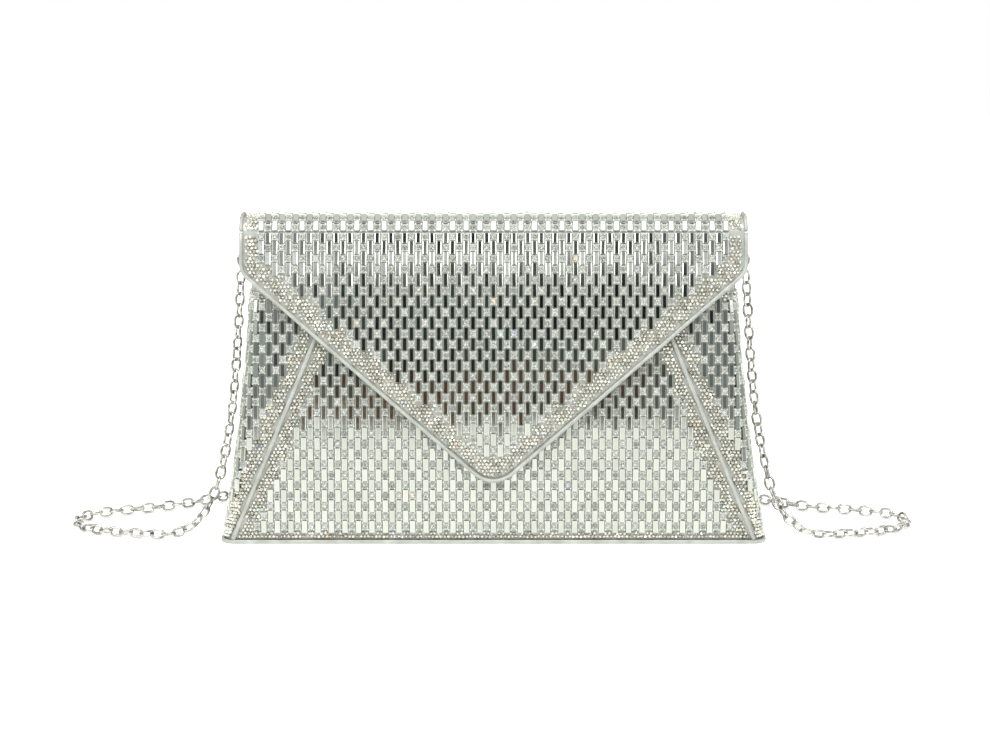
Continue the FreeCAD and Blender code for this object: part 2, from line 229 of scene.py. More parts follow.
@dataclass(frozen=True)
class FauxLeather:
    """Coated fabric with a metallic silver-grey film, embossed with a fine pebble grain.

    It gives a soft, pale, slightly pearly sheen with tiny creases that catch the light.
    """

    name: str = "Silver faux leather"
    pale: str = "C4C6C1"
    deep: str = "B3B5AF"
    grain_mm: float = 0.55
    roughness: float = 0.36

    def material(self) -> bpy.types.Material:
        """Build the node tree and return the material."""
        material, tree, shader = new_material(self.name)
        place = add_node(tree, "ShaderNodeTexCoord").outputs["Object"]
        cloud = add_node(tree, "ShaderNodeTexNoise", Vector=place, Scale=150.0, Detail=6.0)
        grain = add_node(tree, "ShaderNodeTexVoronoi", {"feature": "DISTANCE_TO_EDGE"}, Vector=place,
                         Scale=1.0 / (self.grain_mm * MM))
        crease = add_node(tree, "ShaderNodeTexNoise", Vector=place, Scale=420.0, Detail=6.0)
        bump = add_node(tree, "ShaderNodeBump", Height=grain.outputs["Distance"], Strength=0.35,
                        Distance=0.00012)
        fine = add_node(tree, "ShaderNodeBump", Height=crease.outputs[0], Strength=0.25,
                        Distance=0.0003, Normal=bump.outputs[0])
        colour = ramp(tree, cloud.outputs[0], [(0.3, self.deep), (0.7, self.pale)])
        rough = add_node(tree, "ShaderNodeMapRange", Value=crease.outputs[0])
        set_inputs(tree, rough, {"To Min": self.roughness - 0.06, "To Max": self.roughness + 0.1})
        set_inputs(tree, shader, {"Base Color": colour, "Metallic": 0.45,
                                  "Roughness": rough.outputs[0], "Normal": fine.outputs[0]})
        return material


@dataclass(frozen=True)
class FoiledGlass:
    """Machine-cut clear glass with a silver foil on its back, as on flat-back stones.

    The foil makes each stone a small mirror; slight casting differences tint it, and on a few a painted
    coloured glint (pale orange, blue, pink or green base colour) stands in for the glass's rainbow flashes
    of light.
    """

    name: str = "Foil-backed glass"
    dark: str = "B9C2BA"
    clear: str = "F4F6F1"
    roughness: float = 0.07
    mirror: float = 1.0
    # Whether a few stones get painted coloured glints.
    painted_glints: bool = False
    facet_mm: float = 0.0
    facet_depth: float = 0.3

    def material(self) -> bpy.types.Material:
        """Build the node tree and return the material."""
        material, tree, shader = new_material(self.name)
        tone = add_node(tree, "ShaderNodeAttribute", {"attribute_name": "tone"}).outputs["Fac"]
        stops = [(0.0, self.dark), (0.6, self.clear)]
        # Painted glints: a few stones at random get a pale orange, blue, pink or green base colour that
        # stands in for rainbow flashes of light.
        if self.painted_glints:
            stops += [(0.984, self.clear), (0.988, "F6DDC0"), (0.992, "CBD7F6")]
            stops += [(0.995, "F6D6E0"), (0.998, "CFEFE4")]
        colour = ramp(tree, tone, stops)
        place = add_node(tree, "ShaderNodeTexCoord").outputs["Object"]
        cloud = add_node(tree, "ShaderNodeTexNoise", Vector=place, Scale=900.0, Detail=2.0)
        rough = add_node(tree, "ShaderNodeMapRange", Value=cloud.outputs[0])
        set_inputs(tree, rough, {"To Min": self.roughness * 0.6, "To Max": self.roughness * 1.5})
        set_inputs(tree, shader, {"Base Color": colour, "Metallic": self.mirror,
                                  "Roughness": rough.outputs[0]})
        if self.facet_mm:
            facet = add_node(tree, "ShaderNodeTexVoronoi", Vector=place, Scale=1.0 / (self.facet_mm * MM))
            bump = add_node(tree, "ShaderNodeBump", Height=facet.outputs["Distance"], Strength=1.0,
                            Distance=self.facet_mm * MM * self.facet_depth)
            set_inputs(tree, shader, {"Normal": bump.outputs[0]})
        return material


@dataclass(frozen=True)
class NickelPlate:
    """Bright nickel plate on zinc or steel: a warm pale mirror, dulled by fine handling marks."""

    name: str = "Polished nickel plate"
    colour: str = "DADAD7"
    worn: str = "AEADA8"
    roughness: float = 0.16

    def material(self) -> bpy.types.Material:
        """Build the node tree and return the material."""
        material, tree, shader = new_material(self.name)
        place = add_node(tree, "ShaderNodeTexCoord").outputs["Object"]
        cloud = add_node(tree, "ShaderNodeTexNoise", Vector=place, Scale=260.0, Detail=5.0)
        marks = add_node(tree, "ShaderNodeTexNoise", Vector=place, Scale=1500.0, Detail=3.0)
        colour = ramp(tree, cloud.outputs[0], [(0.35, self.worn), (0.55, self.colour)])
        rough = add_node(tree, "ShaderNodeMapRange", Value=cloud.outputs[0])
        set_inputs(tree, rough, {"To Min": self.roughness + 0.12, "To Max": self.roughness - 0.06})
        bump = add_node(tree, "ShaderNodeBump", Height=marks.outputs[0], Strength=0.12,
                        Distance=0.00005)
        set_inputs(tree, shader, {"Base Color": colour, "Metallic": 1.0,
                                  "Roughness": rough.outputs[0], "Normal": bump.outputs[0]})
        return material


@dataclass(frozen=True)
class Satin:
    """Woven polyester satin: long floats one way give a soft streaky shine on silver-grey."""

    name: str = "Silver satin lining"
    light: str = "A9AAA8"
    dark: str = "7F807F"
    thread_mm: float = 0.45

    def material(self) -> bpy.types.Material:
        """Build the node tree; the thread spacing is drawn coarser than real, so that it shows."""
        material, tree, shader = new_material(self.name)
        place = add_node(tree, "ShaderNodeTexCoord").outputs["Object"]
        across = add_node(tree, "ShaderNodeMapping", Vector=place)
        set_inputs(tree, across, {"Scale": (1.0 / (self.thread_mm * MM), 60.0, 60.0)})
        thread = add_node(tree, "ShaderNodeTexNoise", Vector=across.outputs[0], Scale=1.0, Detail=3.0)
        cloud = add_node(tree, "ShaderNodeTexNoise", Vector=place, Scale=45.0, Detail=3.0)
        colour = ramp(tree, cloud.outputs[0], [(0.3, self.dark), (0.7, self.light)])
        bump = add_node(tree, "ShaderNodeBump", Height=thread.outputs[0], Strength=0.4,
                        Distance=0.00008)
        set_inputs(tree, shader, {"Base Color": colour, "Roughness": 0.42, "Sheen Weight": 0.4,
                                  "Specular IOR Level": 0.7, "Normal": bump.outputs[0]})
        return material


@dataclass(frozen=True)
class Fibrous:
    """Plain fibrous sheet: pressed grey board, or the soft foam beside it."""

    name: str
    light: str
    dark: str
    fibre_mm: float
    roughness: float = 0.9

    def material(self) -> bpy.types.Material:
        """Build the node tree and return the material."""
        material, tree, shader = new_material(self.name)
        place = add_node(tree, "ShaderNodeTexCoord").outputs["Object"]
        fibre = add_node(tree, "ShaderNodeTexNoise", Vector=place, Scale=1.0 / (self.fibre_mm * MM),
                         Detail=6.0)
        colour = ramp(tree, fibre.outputs[0], [(0.35, self.dark), (0.65, self.light)])
        bump = add_node(tree, "ShaderNodeBump", Height=fibre.outputs[0], Strength=0.5,
                        Distance=0.0001)
        set_inputs(tree, shader, {"Base Color": colour, "Roughness": self.roughness,
                                  "Normal": bump.outputs[0]})
        return material


@dataclass(frozen=True)
class Thread:
    """Twisted polyester sewing thread, a little shiny, in the tone of the leather."""

    name: str = "Grey sewing thread"
    colour: str = "B9BAB5"
    shade: str = "8E8F8A"

    def material(self) -> bpy.types.Material:
        """Build the node tree and return the material."""
        material, tree, shader = new_material(self.name)
        place = add_node(tree, "ShaderNodeTexCoord").outputs["Object"]
        twist = add_node(tree, "ShaderNodeTexNoise", Vector=place, Scale=2600.0, Detail=2.0)
        colour = ramp(tree, twist.outputs[0], [(0.35, self.shade), (0.6, self.colour)])
        set_inputs(tree, shader, {"Base Color": colour, "Roughness": 0.5, "Sheen Weight": 0.3})
        return material


# ---------------------------------------------------------------- mesh helpers


def grid_faces(rows: int, columns: int, closed_rows: bool = False,
               closed_columns: bool = False) -> np.ndarray:
    """Quads of a grid of points stored row by row.

    Args:
        rows: Number of rows of points.
        columns: Number of points in a row.
        closed_rows: Whether the last row joins the first.
        closed_columns: Whether each row is a loop.

    Returns:
        An array of quads, one per cell.
    """
    r = np.arange(rows if closed_rows else rows - 1)
    c = np.arange(columns if closed_columns else columns - 1)
    r, c = np.meshgrid(r, c, indexing="ij")
    r1, c1 = (r + 1) % rows, (c + 1) % columns
    quads = [r * columns + c, r1 * columns + c, r1 * columns + c1, r * columns + c1]
    return np.stack(quads, axis=-1).reshape(-1, 4)


def make_piece(
    name: str,
    points: np.ndarray,
    polygons: list[np.ndarray],
    material: bpy.types.Material,
    smooth: bool = True,
    tone: np.ndarray | None = None,
) -> bpy.types.Object:
    """Make one mesh object at the origin from arrays in millimetres, with its faces outwards.

    Args:
        name: The piece's name.
        points: Points, one row each.
        polygons: Arrays of point indices, one array per number of corners.
        material: The finish of every face.
        smooth: Whether the faces are shaded smooth.
        tone: A value per face, in the order of the polygons, stored as the attribute "tone".

    Returns:
        The object.
    """
    mesh = bpy.data.meshes.new(name)
    counts = np.concatenate([np.full(len(p), p.shape[1]) for p in polygons])
    loops = np.concatenate([p.reshape(-1) for p in polygons])
    mesh.vertices.add(len(points))
    mesh.vertices.foreach_set("co", (np.asarray(points, float) * MM).reshape(-1).astype(np.float32))
    mesh.loops.add(len(loops))
    mesh.loops.foreach_set("vertex_index", loops.astype(np.int32))
    mesh.polygons.add(len(counts))
    starts = np.concatenate([[0], np.cumsum(counts)[:-1]])
    mesh.polygons.foreach_set("loop_start", starts.astype(np.int32))
    mesh.update(calc_edges=True)
    if tone is not None:
        mesh.attributes.new("tone", "FLOAT", "FACE").data.foreach_set("value", tone.astype(np.float32))
    work = bmesh.new()
    work.from_mesh(mesh)
    bmesh.ops.recalc_face_normals(work, faces=work.faces)
    work.to_mesh(mesh)
    work.free()
    mesh.polygons.foreach_set("use_smooth", np.full(len(counts), smooth))
    mesh.materials.append(material)
    piece = bpy.data.objects.new(name, mesh)
    bpy.context.scene.collection.objects.link(piece)
    LOG.info("%s: %d faces", name, len(counts))
    return piece


def closed_shell(outer: np.ndarray, inner: np.ndarray,
                 loop: bool = False) -> tuple[np.ndarray, list[np.ndarray]]:
    """Join two grids of the same size into one closed sheet with a thickness.

    Args:
        outer: Grid of points of one side, rows by columns by 3.
        inner: Grid of points of the other side.
        loop: Whether each row is a loop.

    Returns:
        The points and the polygons.
    """
    rows, columns = outer.shape[:2]
    size = rows * columns
    face = grid_faces(rows, columns, closed_columns=loop)
    index = np.arange(size).reshape(rows, columns)
    borders = [index[0], index[-1]] + ([] if loop else [index[:, 0], index[:, -1]])
    polygons = [face, face[:, ::-1] + size]
    for border in borders:
        a, b = (border, np.roll(border, -1)) if loop else (border[:-1], border[1:])
        polygons.append(np.stack([a, b, b + size, a + size], axis=-1))
    return np.concatenate([outer.reshape(-1, 3), inner.reshape(-1, 3)]), polygons


def sweep(path: np.ndarray, across: np.ndarray, out: np.ndarray, section: np.ndarray,
          closed: bool = False) -> tuple[np.ndarray, list[np.ndarray]]:
    """Carry a closed section along a path: each point is path + a across + b out.

    Args:
        path: Points of the path.
        across: Unit vectors across the path, one per point.
        out: Unit vectors away from the bag, one per point.
        section: The section's (a, b) pairs in order round it.
        closed: Whether the path is a loop.

    Returns:
        The points and the polygons, with flat end caps on an open path.
    """
    points = path[:, None] + across[:, None] * section[None, :, :1] + out[:, None] * section[None, :, 1:]
    n, k = points.shape[:2]
    polygons = [grid_faces(n, k, closed_rows=closed, closed_columns=True)]
    if not closed:
        polygons.append(np.stack([np.arange(k), (n - 1) * k + np.arange(k)[::-1]]))
    return points.reshape(-1, 3), polygons


def oval(width: float, height: float, count: int = 12, power: float = 2.0) -> np.ndarray:
    """A rounded section: a superellipse of that width and height about its middle.

    Args:
        width: Full width.
        height: Full height.
        count: Number of points.
        power: 2 is an ellipse; more is squarer.

    Returns:
        The (a, b) pairs of the section.
    """
    angle = np.linspace(0, 2 * math.pi, count, endpoint=False)
    ring = np.stack([np.cos(angle), np.sin(angle)], axis=-1)
    return np.sign(ring) * np.abs(ring) ** (2 / power) * np.array([width / 2, height / 2])


def unit(vectors: np.ndarray) -> np.ndarray:
    """Scale each vector to length one."""
    return vectors / np.linalg.norm(vectors, axis=-1, keepdims=True)


def along(path: np.ndarray, closed: bool = False) -> np.ndarray:
    """Unit tangents of a path of points."""
    if closed:
        return unit(np.roll(path, -1, axis=0) - np.roll(path, 1, axis=0))
    return unit(np.gradient(path, axis=0))


def distances(path: np.ndarray) -> np.ndarray:
    """Distance along a path of points, from the first point to each."""
    return np.concatenate([[0], np.cumsum(np.linalg.norm(np.diff(path, axis=0), axis=1))])


def sampled(rows: np.ndarray, run: np.ndarray, at: np.ndarray) -> np.ndarray:
    """Rows of three values read between the known ones.

    Args:
        rows: The known rows.
        run: Distance of each known row.
        at: Distances to read at.

    Returns:
        One row for each distance.
    """
    return np.stack([np.interp(at, run, rows[:, k]) for k in range(3)], axis=-1)


def merged(parts: list[tuple[np.ndarray, list[np.ndarray]]]) -> tuple[np.ndarray, list[np.ndarray]]:
    """Put several pieces of points and polygons into one."""
    points, polygons, start = [], [], 0
    for p, faces in parts:
        points.append(p)
        polygons += [f + start for f in faces]
        start += len(p)
    return np.concatenate(points), polygons


# ---------------------------------------------------------------- the bag's surfaces


@dataclass(frozen=True)
class BagForm:
    """The formulas of the bag's surfaces, in millimetres, to match the frame's solids."""

    base_half_width: float = 130.0
    top_half_width: float = 114.5
    flare_power: float = 1.8
    crest: float = 155.0
    base_half_depth: float = 27.0
    arc_radius: float = 690.0
    arc_drop: float = 7.2
    corner: float = 7.0
    stone: float = 1.6
    skin: float = 0.8
    board: float = 1.4
    lining: float = 0.6
    fold_z: float = 147.5
    fold_radius: float = 7.5
    fold_back_y: float = 2.1
    flap_gap: float = 0.5
    flap_skin_in: float = 2.3
    flap_stone_in: float = 3.1
    flap_out: float = 4.7
    flap_half_width: float = 119.4
    flap_apex: float = 25.8
    flap_angle: float = math.radians(40.6)
    tip_radius: float = 14.0
    side_radius: float = 9.4
    flap_top: float = 147.2
    piping: float = 2.3
    rim: float = 145.0
    seam_base_x: float = 124.5
    seam_slope: float = 0.417
    seam_width: float = 2.6
    binding_top: float = 1.8
    side_stones_top: float = 120.0

    def arc_centre_y(self) -> float:
        """How far behind the middle the axis of the front wall's arc lies."""
        return math.sqrt(self.arc_radius**2 - self.arc_drop**2) - self.base_half_depth

    def half_depth(self, z: np.ndarray, out: float | np.ndarray = 0.0) -> np.ndarray:
        """Half the depth at height z: the arc's radius plus out, less the axis's distance."""
        return np.sqrt((self.arc_radius + out) ** 2 - (z + self.arc_drop) ** 2) - self.arc_centre_y()

    def half_width(self, z: np.ndarray) -> np.ndarray:
        """Half the width at height z: the top's, plus a flare that grows as a power towards the base."""
        rise = np.clip(1.0 - z / self.crest, 0.0, 2.0)
        return self.top_half_width + (self.base_half_width - self.top_half_width) * rise**self.flare_power

    def front(self, x: np.ndarray, z: np.ndarray, out: float | np.ndarray = 0.0) -> np.ndarray:
        """A point of the flat-across front surface: (x, minus half the depth, z)."""
        x, z, y = np.broadcast_arrays(x, z, -self.half_depth(z, out))
        return np.stack([x, y, z], axis=-1)

    def around(self, s: np.ndarray, z: np.ndarray, out: float | np.ndarray = 0.0) -> np.ndarray:
        """A point round the body: s runs from the front's middle line, straight across, then a
        quarter round of the corner's radius, then back along the side.

        Args:
            s: Signed distance from the middle line, measured on the stones' tops.
            z: Height.
            out: How far outside the stones' tops.

        Returns:
            The points.
        """
        s, z, out = np.broadcast_arrays(np.asarray(s, float), np.asarray(z, float), out)
        straight = self.half_width(z) - self.corner
        past = np.clip(np.abs(s) - straight, 0.0, None)
        turn = np.clip(past / self.corner, 0.0, math.pi / 2)
        side = np.clip(past - self.corner * math.pi / 2, 0.0, None)
        radius = self.corner + out
        x = np.minimum(np.abs(s), straight) + radius * np.sin(turn)
        depth = self.half_depth(z) - self.corner
        y = -depth - radius * np.cos(turn) + side
        return np.stack([np.sign(s) * x, y, z], axis=-1)

    def quarter_length(self, z: np.ndarray) -> np.ndarray:
        """Length of the surface from the front's middle line to the side's middle, at height z."""
        return (
            self.half_width(z) - self.corner
            + self.corner * math.pi / 2
            + self.half_depth(z) - self.corner
        )

    def arch_sizes(self, depth: float) -> tuple[float, float, float, float]:
        """Where the fold's front round starts, and the lengths of its front round, crown and back round."""
        start = math.asin((self.fold_z + self.arc_drop) / (self.arc_radius + self.flap_out))
        front = (self.crest - self.fold_z) / (1 - math.sin(start))
        crown = self.fold_back_y - self.arch_front_y(front, start)
        back = self.fold_radius - depth
        return start, (front - depth) * (math.pi / 2 - start), crown, back * math.pi / 2

    def arch_front_y(self, front: float, start: float) -> float:
        """Depth of the axis of the fold's front round, which carries on from the flap's surface."""
        return front * math.cos(start) - float(self.half_depth(self.fold_z, self.flap_out))

    def arch(self, at: np.ndarray, x: np.ndarray, depth: float) -> np.ndarray:
        """A point of the fold over the mouth: a round from the flap's lean, a flat crown, a back round.

        Args:
            at: Distance over the fold from its front line, on the layer.
            x: Place across the bag.
            depth: How far the layer lies under the tops of the stones.

        Returns:
            The points.
        """
        start, first, crown, last = self.arch_sizes(depth)
        front = (self.crest - self.fold_z) / (1 - math.sin(start))
        axis_y = self.arch_front_y(front, start)
        axis_z = self.crest - front
        a1 = start + np.clip(at / (front - depth), 0, math.pi / 2 - start)
        flat = np.clip(at - first, 0, crown)
        back = self.fold_radius - depth
        a2 = np.clip((at - first - crown) / back, 0, math.pi / 2)
        y = axis_y - (front - depth) * np.cos(a1) + flat + back * np.sin(a2)
        z = axis_z + (front - depth) * np.sin(a1) - back * (1 - np.cos(a2))
        x, y, z = np.broadcast_arrays(x, y, z)
        return np.stack([x, y, z], axis=-1)

    def arch_length(self, depth: float) -> float:
        """Length over the fold at that depth under the stones' tops."""
        return sum(self.arch_sizes(depth)[1:])

    def flap_low(self, x: np.ndarray, inset: float = 0.0) -> np.ndarray:
        """The flap's lower edge above place x: a rounded tip, a slanted line, a rounded side corner.

        Args:
            x: Place across the bag.
            inset: How far inside the flap's outline.

        Returns:
            The heights.
        """
        a = np.abs(x)
        cos, sin = math.cos(self.flap_angle), math.sin(self.flap_angle)
        apex = self.flap_apex + inset / cos
        tip, side = self.tip_radius - inset, max(self.side_radius - inset, 1.0)
        half = self.flap_half_width - inset
        low = apex + a * sin / cos
        round_tip = apex + tip / cos - np.sqrt(np.clip(tip**2 - a**2, 0, None))
        low = np.where(a < tip * sin, round_tip, low)
        middle_x = half - side
        middle_z = apex + (side + middle_x * sin) / cos
        round_side = middle_z - np.sqrt(np.clip(side**2 - (a - middle_x) ** 2, 0, None))
        return np.where(a > middle_x + side * sin, round_side, low)

    def flap_edge(self, inset: float) -> np.ndarray:
        """The flap's outline as (x, z) pairs, from the top left, round the tip, to the top right."""
        cos, sin = math.cos(self.flap_angle), math.sin(self.flap_angle)
        half, apex = self.flap_half_width - inset, self.flap_apex + inset / cos
        tip, side = self.tip_radius - inset, self.side_radius - inset
        middle_x = half - side
        middle_z = apex + (side + middle_x * sin) / cos
        turn = np.linspace(0, math.pi / 2 - self.flap_angle, 9)
        corner = np.stack([middle_x + side * np.cos(turn), middle_z - side * np.sin(turn)], axis=-1)
        turn = np.linspace(self.flap_angle, 0, 9)
        point = np.stack([tip * np.sin(turn), apex + tip / cos - tip * np.cos(turn)], axis=-1)
        top = np.stack([np.full(4, half), np.linspace(self.flap_top, middle_z + 2, 4)], axis=-1)
        share = np.linspace(0, 1, 26)[1:-1, None]
        slope = corner[-1] * (1 - share) + point[0] * share
        right = np.concatenate([top, corner, slope, point])
        left = right[:-1] * np.array([-1, 1])
        return np.concatenate([left, right[::-1]])


FORM = BagForm()


def soft_wave(x: np.ndarray, z: np.ndarray, size: float, reach: float) -> np.ndarray:
    """A gentle unevenness: the sum of three crossed sine waves of unlike lengths.

    Args:
        x: Place across.
        z: Height.
        size: Greatest height of the waves.
        reach: Length of the longest wave.

    Returns:
        The height of the waves at each place.
    """
    k = 2 * math.pi / reach
    first = np.sin(k * x + 1.3 * np.sin(k * 0.7 * z))
    second = np.sin(k * 1.7 * z + 0.8 * np.cos(k * 1.1 * x) + 2.0)
    third = np.sin(k * 2.6 * (x * 0.8 - z) + 0.5)
    return size * (0.5 * first + 0.3 * second + 0.2 * third)


# ---------------------------------------------------------------- stones


def block(width: float, height: float, thick: float, inset: tuple[float, float],
          shoulder: float) -> tuple[np.ndarray, np.ndarray]:
    """A step-cut block: a base and a girdle of the full size, and a smaller table on top.

    Args:
        width: Width of the base.
        height: Length of the base.
        thick: Thickness.
        inset: How much smaller the table is on each long side and on each end.
        shoulder: Share of the thickness below the bevels.

    Returns:
        Twelve points and ten quads.
    """
    corner = np.array([[-1, -1], [1, -1], [1, 1], [-1, 1]]) / 2
    rings = [(width, height, 0.0), (width, height, thick * shoulder),
             (width - 2 * inset[0], height - 2 * inset[1], thick)]
    points = [np.column_stack([corner * (w, h), np.full(4, z)]) for w, h, z in rings]
    walls = grid_faces(3, 4, closed_columns=True)
    caps = np.array([[3, 2, 1, 0], [8, 9, 10, 11]])
    return np.concatenate(points), np.concatenate([walls, caps])


def brilliant(radius: float, thick: float, sides: int = 8) -> tuple[np.ndarray, np.ndarray]:
    """A round flat-back stone: a girdle, and a smaller table turned by half a side.

    Args:
        radius: Radius of the girdle.
        thick: Thickness.
        sides: Number of sides.

    Returns:
        The points and the triangles.
    """
    turn = 2 * math.pi * np.arange(sides) / sides
    half = turn + math.pi / sides
    rings = [(turn, radius, 0.0), (turn, radius, thick * 0.3), (half, radius * 0.52, thick)]
    points = [np.stack([r * np.cos(a), r * np.sin(a), np.full(sides, z)], axis=-1) for a, r, z in rings]
    i, j = np.arange(sides), (np.arange(sides) + 1) % sides
    g, t = sides, 2 * sides
    wall = [np.stack([i, j, j + g], -1), np.stack([i, j + g, i + g], -1)]
    crown = [np.stack([i + g, j + g, i + t], -1), np.stack([j + g, j + t, i + t], -1)]
    fan = np.arange(1, sides - 1)
    table = np.stack([np.full(len(fan), t), fan + t, fan + 1 + t], -1)
    base = np.stack([np.zeros(len(fan), int), fan + 1, fan], -1)
    return np.concatenate(points), np.concatenate(wall + crown + [table, base])


def star_cut(radius: float, thick: float, sides: int = 8) -> tuple[np.ndarray, np.ndarray]:
    """A round stone with many facets: rings of points at falling radii, each turned by half a side.

    Args:
        radius: Radius of the girdle.
        thick: Thickness.
        sides: Number of sides of each ring.

    Returns:
        The points and the triangles.
    """
    turn = 2 * math.pi * np.arange(sides) / sides
    half = math.pi / sides
    rings = [(0.0, 1.0, 0.0), (0.0, 1.0, 0.35), (half, 0.72, 0.8), (2 * half, 0.36, 0.98)]
    points = [np.stack([radius * r * np.cos(turn + a), radius * r * np.sin(turn + a),
                        np.full(sides, thick * z)], axis=-1) for a, r, z in rings]
    points.append(np.array([[0.0, 0.0, thick * 0.9], [0.0, 0.0, 0.0]]))
    i, j = np.arange(sides), (np.arange(sides) + 1) % sides
    faces = []
    for k in range(len(rings) - 1):
        low, high = k * sides, (k + 1) * sides
        if k:
            faces.append(np.stack([i + low, j + low, i + high], -1))
            faces.append(np.stack([j + low, j + high, i + high], -1))
        else:
            faces.append(np.stack([i + low, j + low, j + high], -1))
            faces.append(np.stack([i + low, j + high, i + high], -1))
    top, bottom = np.full(sides, 4 * sides), np.full(sides, 4 * sides + 1)
    faces += [np.stack([i + 3 * sides, j + 3 * sides, top], -1), np.stack([j, i, bottom], -1)]
    return np.concatenate(points), np.concatenate(faces)


def scatter(
    shape: tuple[np.ndarray, np.ndarray],
    at: np.ndarray,
    axes: tuple[np.ndarray, np.ndarray, np.ndarray],
    random: np.random.Generator,
    tilt: float,
    spin: float = 0.0,
    scale: np.ndarray | None = None,
) -> tuple[np.ndarray, np.ndarray, np.ndarray]:
    """Set copies of a stone on a surface, each turned a little at random.

    A copy's point is at + x u + y v + z n, after a small turn about u and v by random angles.

    Args:
        shape: Points and faces of one stone, base at zero.
        at: Seat of each copy.
        axes: Unit vectors across, up and out at each seat.
        random: The source of chance.
        tilt: Standard deviation of the tilt, in degrees.
        spin: Greatest turn about the copy's own axis either way, in degrees.
        scale: A size factor per copy.

    Returns:
        Points, faces and a random tone per face, one value for each stone.
    """
    points, faces = shape
    count = len(at)
    angle = np.radians(random.normal(0, tilt, (count, 2)))
    local = np.repeat(points[None], count, axis=0)
    if spin:
        turn = np.radians(random.uniform(-spin, spin, count))[:, None]
        x = local[..., 0] * np.cos(turn) - local[..., 1] * np.sin(turn)
        y = local[..., 0] * np.sin(turn) + local[..., 1] * np.cos(turn)
        local = np.stack([x, y, local[..., 2]], axis=-1)
    if scale is not None:
        local = local * scale[:, None, None]
    local[..., 2] += local[..., 0] * np.tan(angle[:, :1]) + local[..., 1] * np.tan(angle[:, 1:])
    u, v, n = axes
    world = (
        at[:, None] + local[..., :1] * u[:, None] + local[..., 1:2] * v[:, None]
        + local[..., 2:] * n[:, None]
    )
    index = faces[None] + (np.arange(count) * len(points))[:, None, None]
    tone = np.repeat(random.uniform(0, 1, count), len(faces))
    return world.reshape(-1, 3), index.reshape(-1, faces.shape[1]), tone


def surface_axes(surface: Callable, a: np.ndarray, b: np.ndarray) -> tuple[np.ndarray, tuple]:
    """Points of a surface of two parameters, with the unit vectors across, up and out there.

    The vectors come from small steps of each parameter; out is across times up.

    Args:
        surface: Function of two arrays that returns points.
        a: First parameter.
        b: Second parameter.

    Returns:
        The points, and the three arrays of unit vectors.
    """
    step = 0.05
    at = surface(a, b)
    u = unit(surface(a + step, b) - surface(a - step, b))
    v = unit(surface(a, b + step) - surface(a, b - step))
    n = unit(np.cross(u, v))
    return at, (u, np.cross(n, u), n)


@dataclass(frozen=True)
class StoneCut:
    """How one kind of stone is cut, in millimetres, and how unevenly it is set, in degrees."""

    thick: float
    bevel: tuple[float, float] = (0.0, 0.0)
    shoulder: float = 0.0
    radius: float = 0.0
    tilt: float = 0.0
    spin: float = 0.0

    def block(self, width: float, height: float) -> tuple[np.ndarray, np.ndarray]:
        """A step-cut block of this cut and the given size."""
        return block(width, height, self.thick, self.bevel, self.shoulder)


STONE_CUTS = {
    Stone.BAGUETTE: StoneCut(1.45, bevel=(0.44, 0.16), shoulder=0.82, tilt=0.32, spin=1.2),
    Stone.CUP: StoneCut(0.9, bevel=(0.3, 0.3), shoulder=0.6, tilt=0.5, spin=1.0),
    Stone.ROUND: StoneCut(1.0, radius=1.36, tilt=5.0, spin=180.0),
    Stone.PRONG: StoneCut(1.35, bevel=(0.16, 0.16), shoulder=0.7, tilt=4.0),
    Stone.CRYSTAL: StoneCut(1.25, radius=0.96, tilt=13.0, spin=180.0),
}


@dataclass(frozen=True)
class ShortRow:
    """A row of shorter baguettes: its middle, the stones' length, and which columns have them."""

    middle: float
    parity: int
    length: float = 4.6


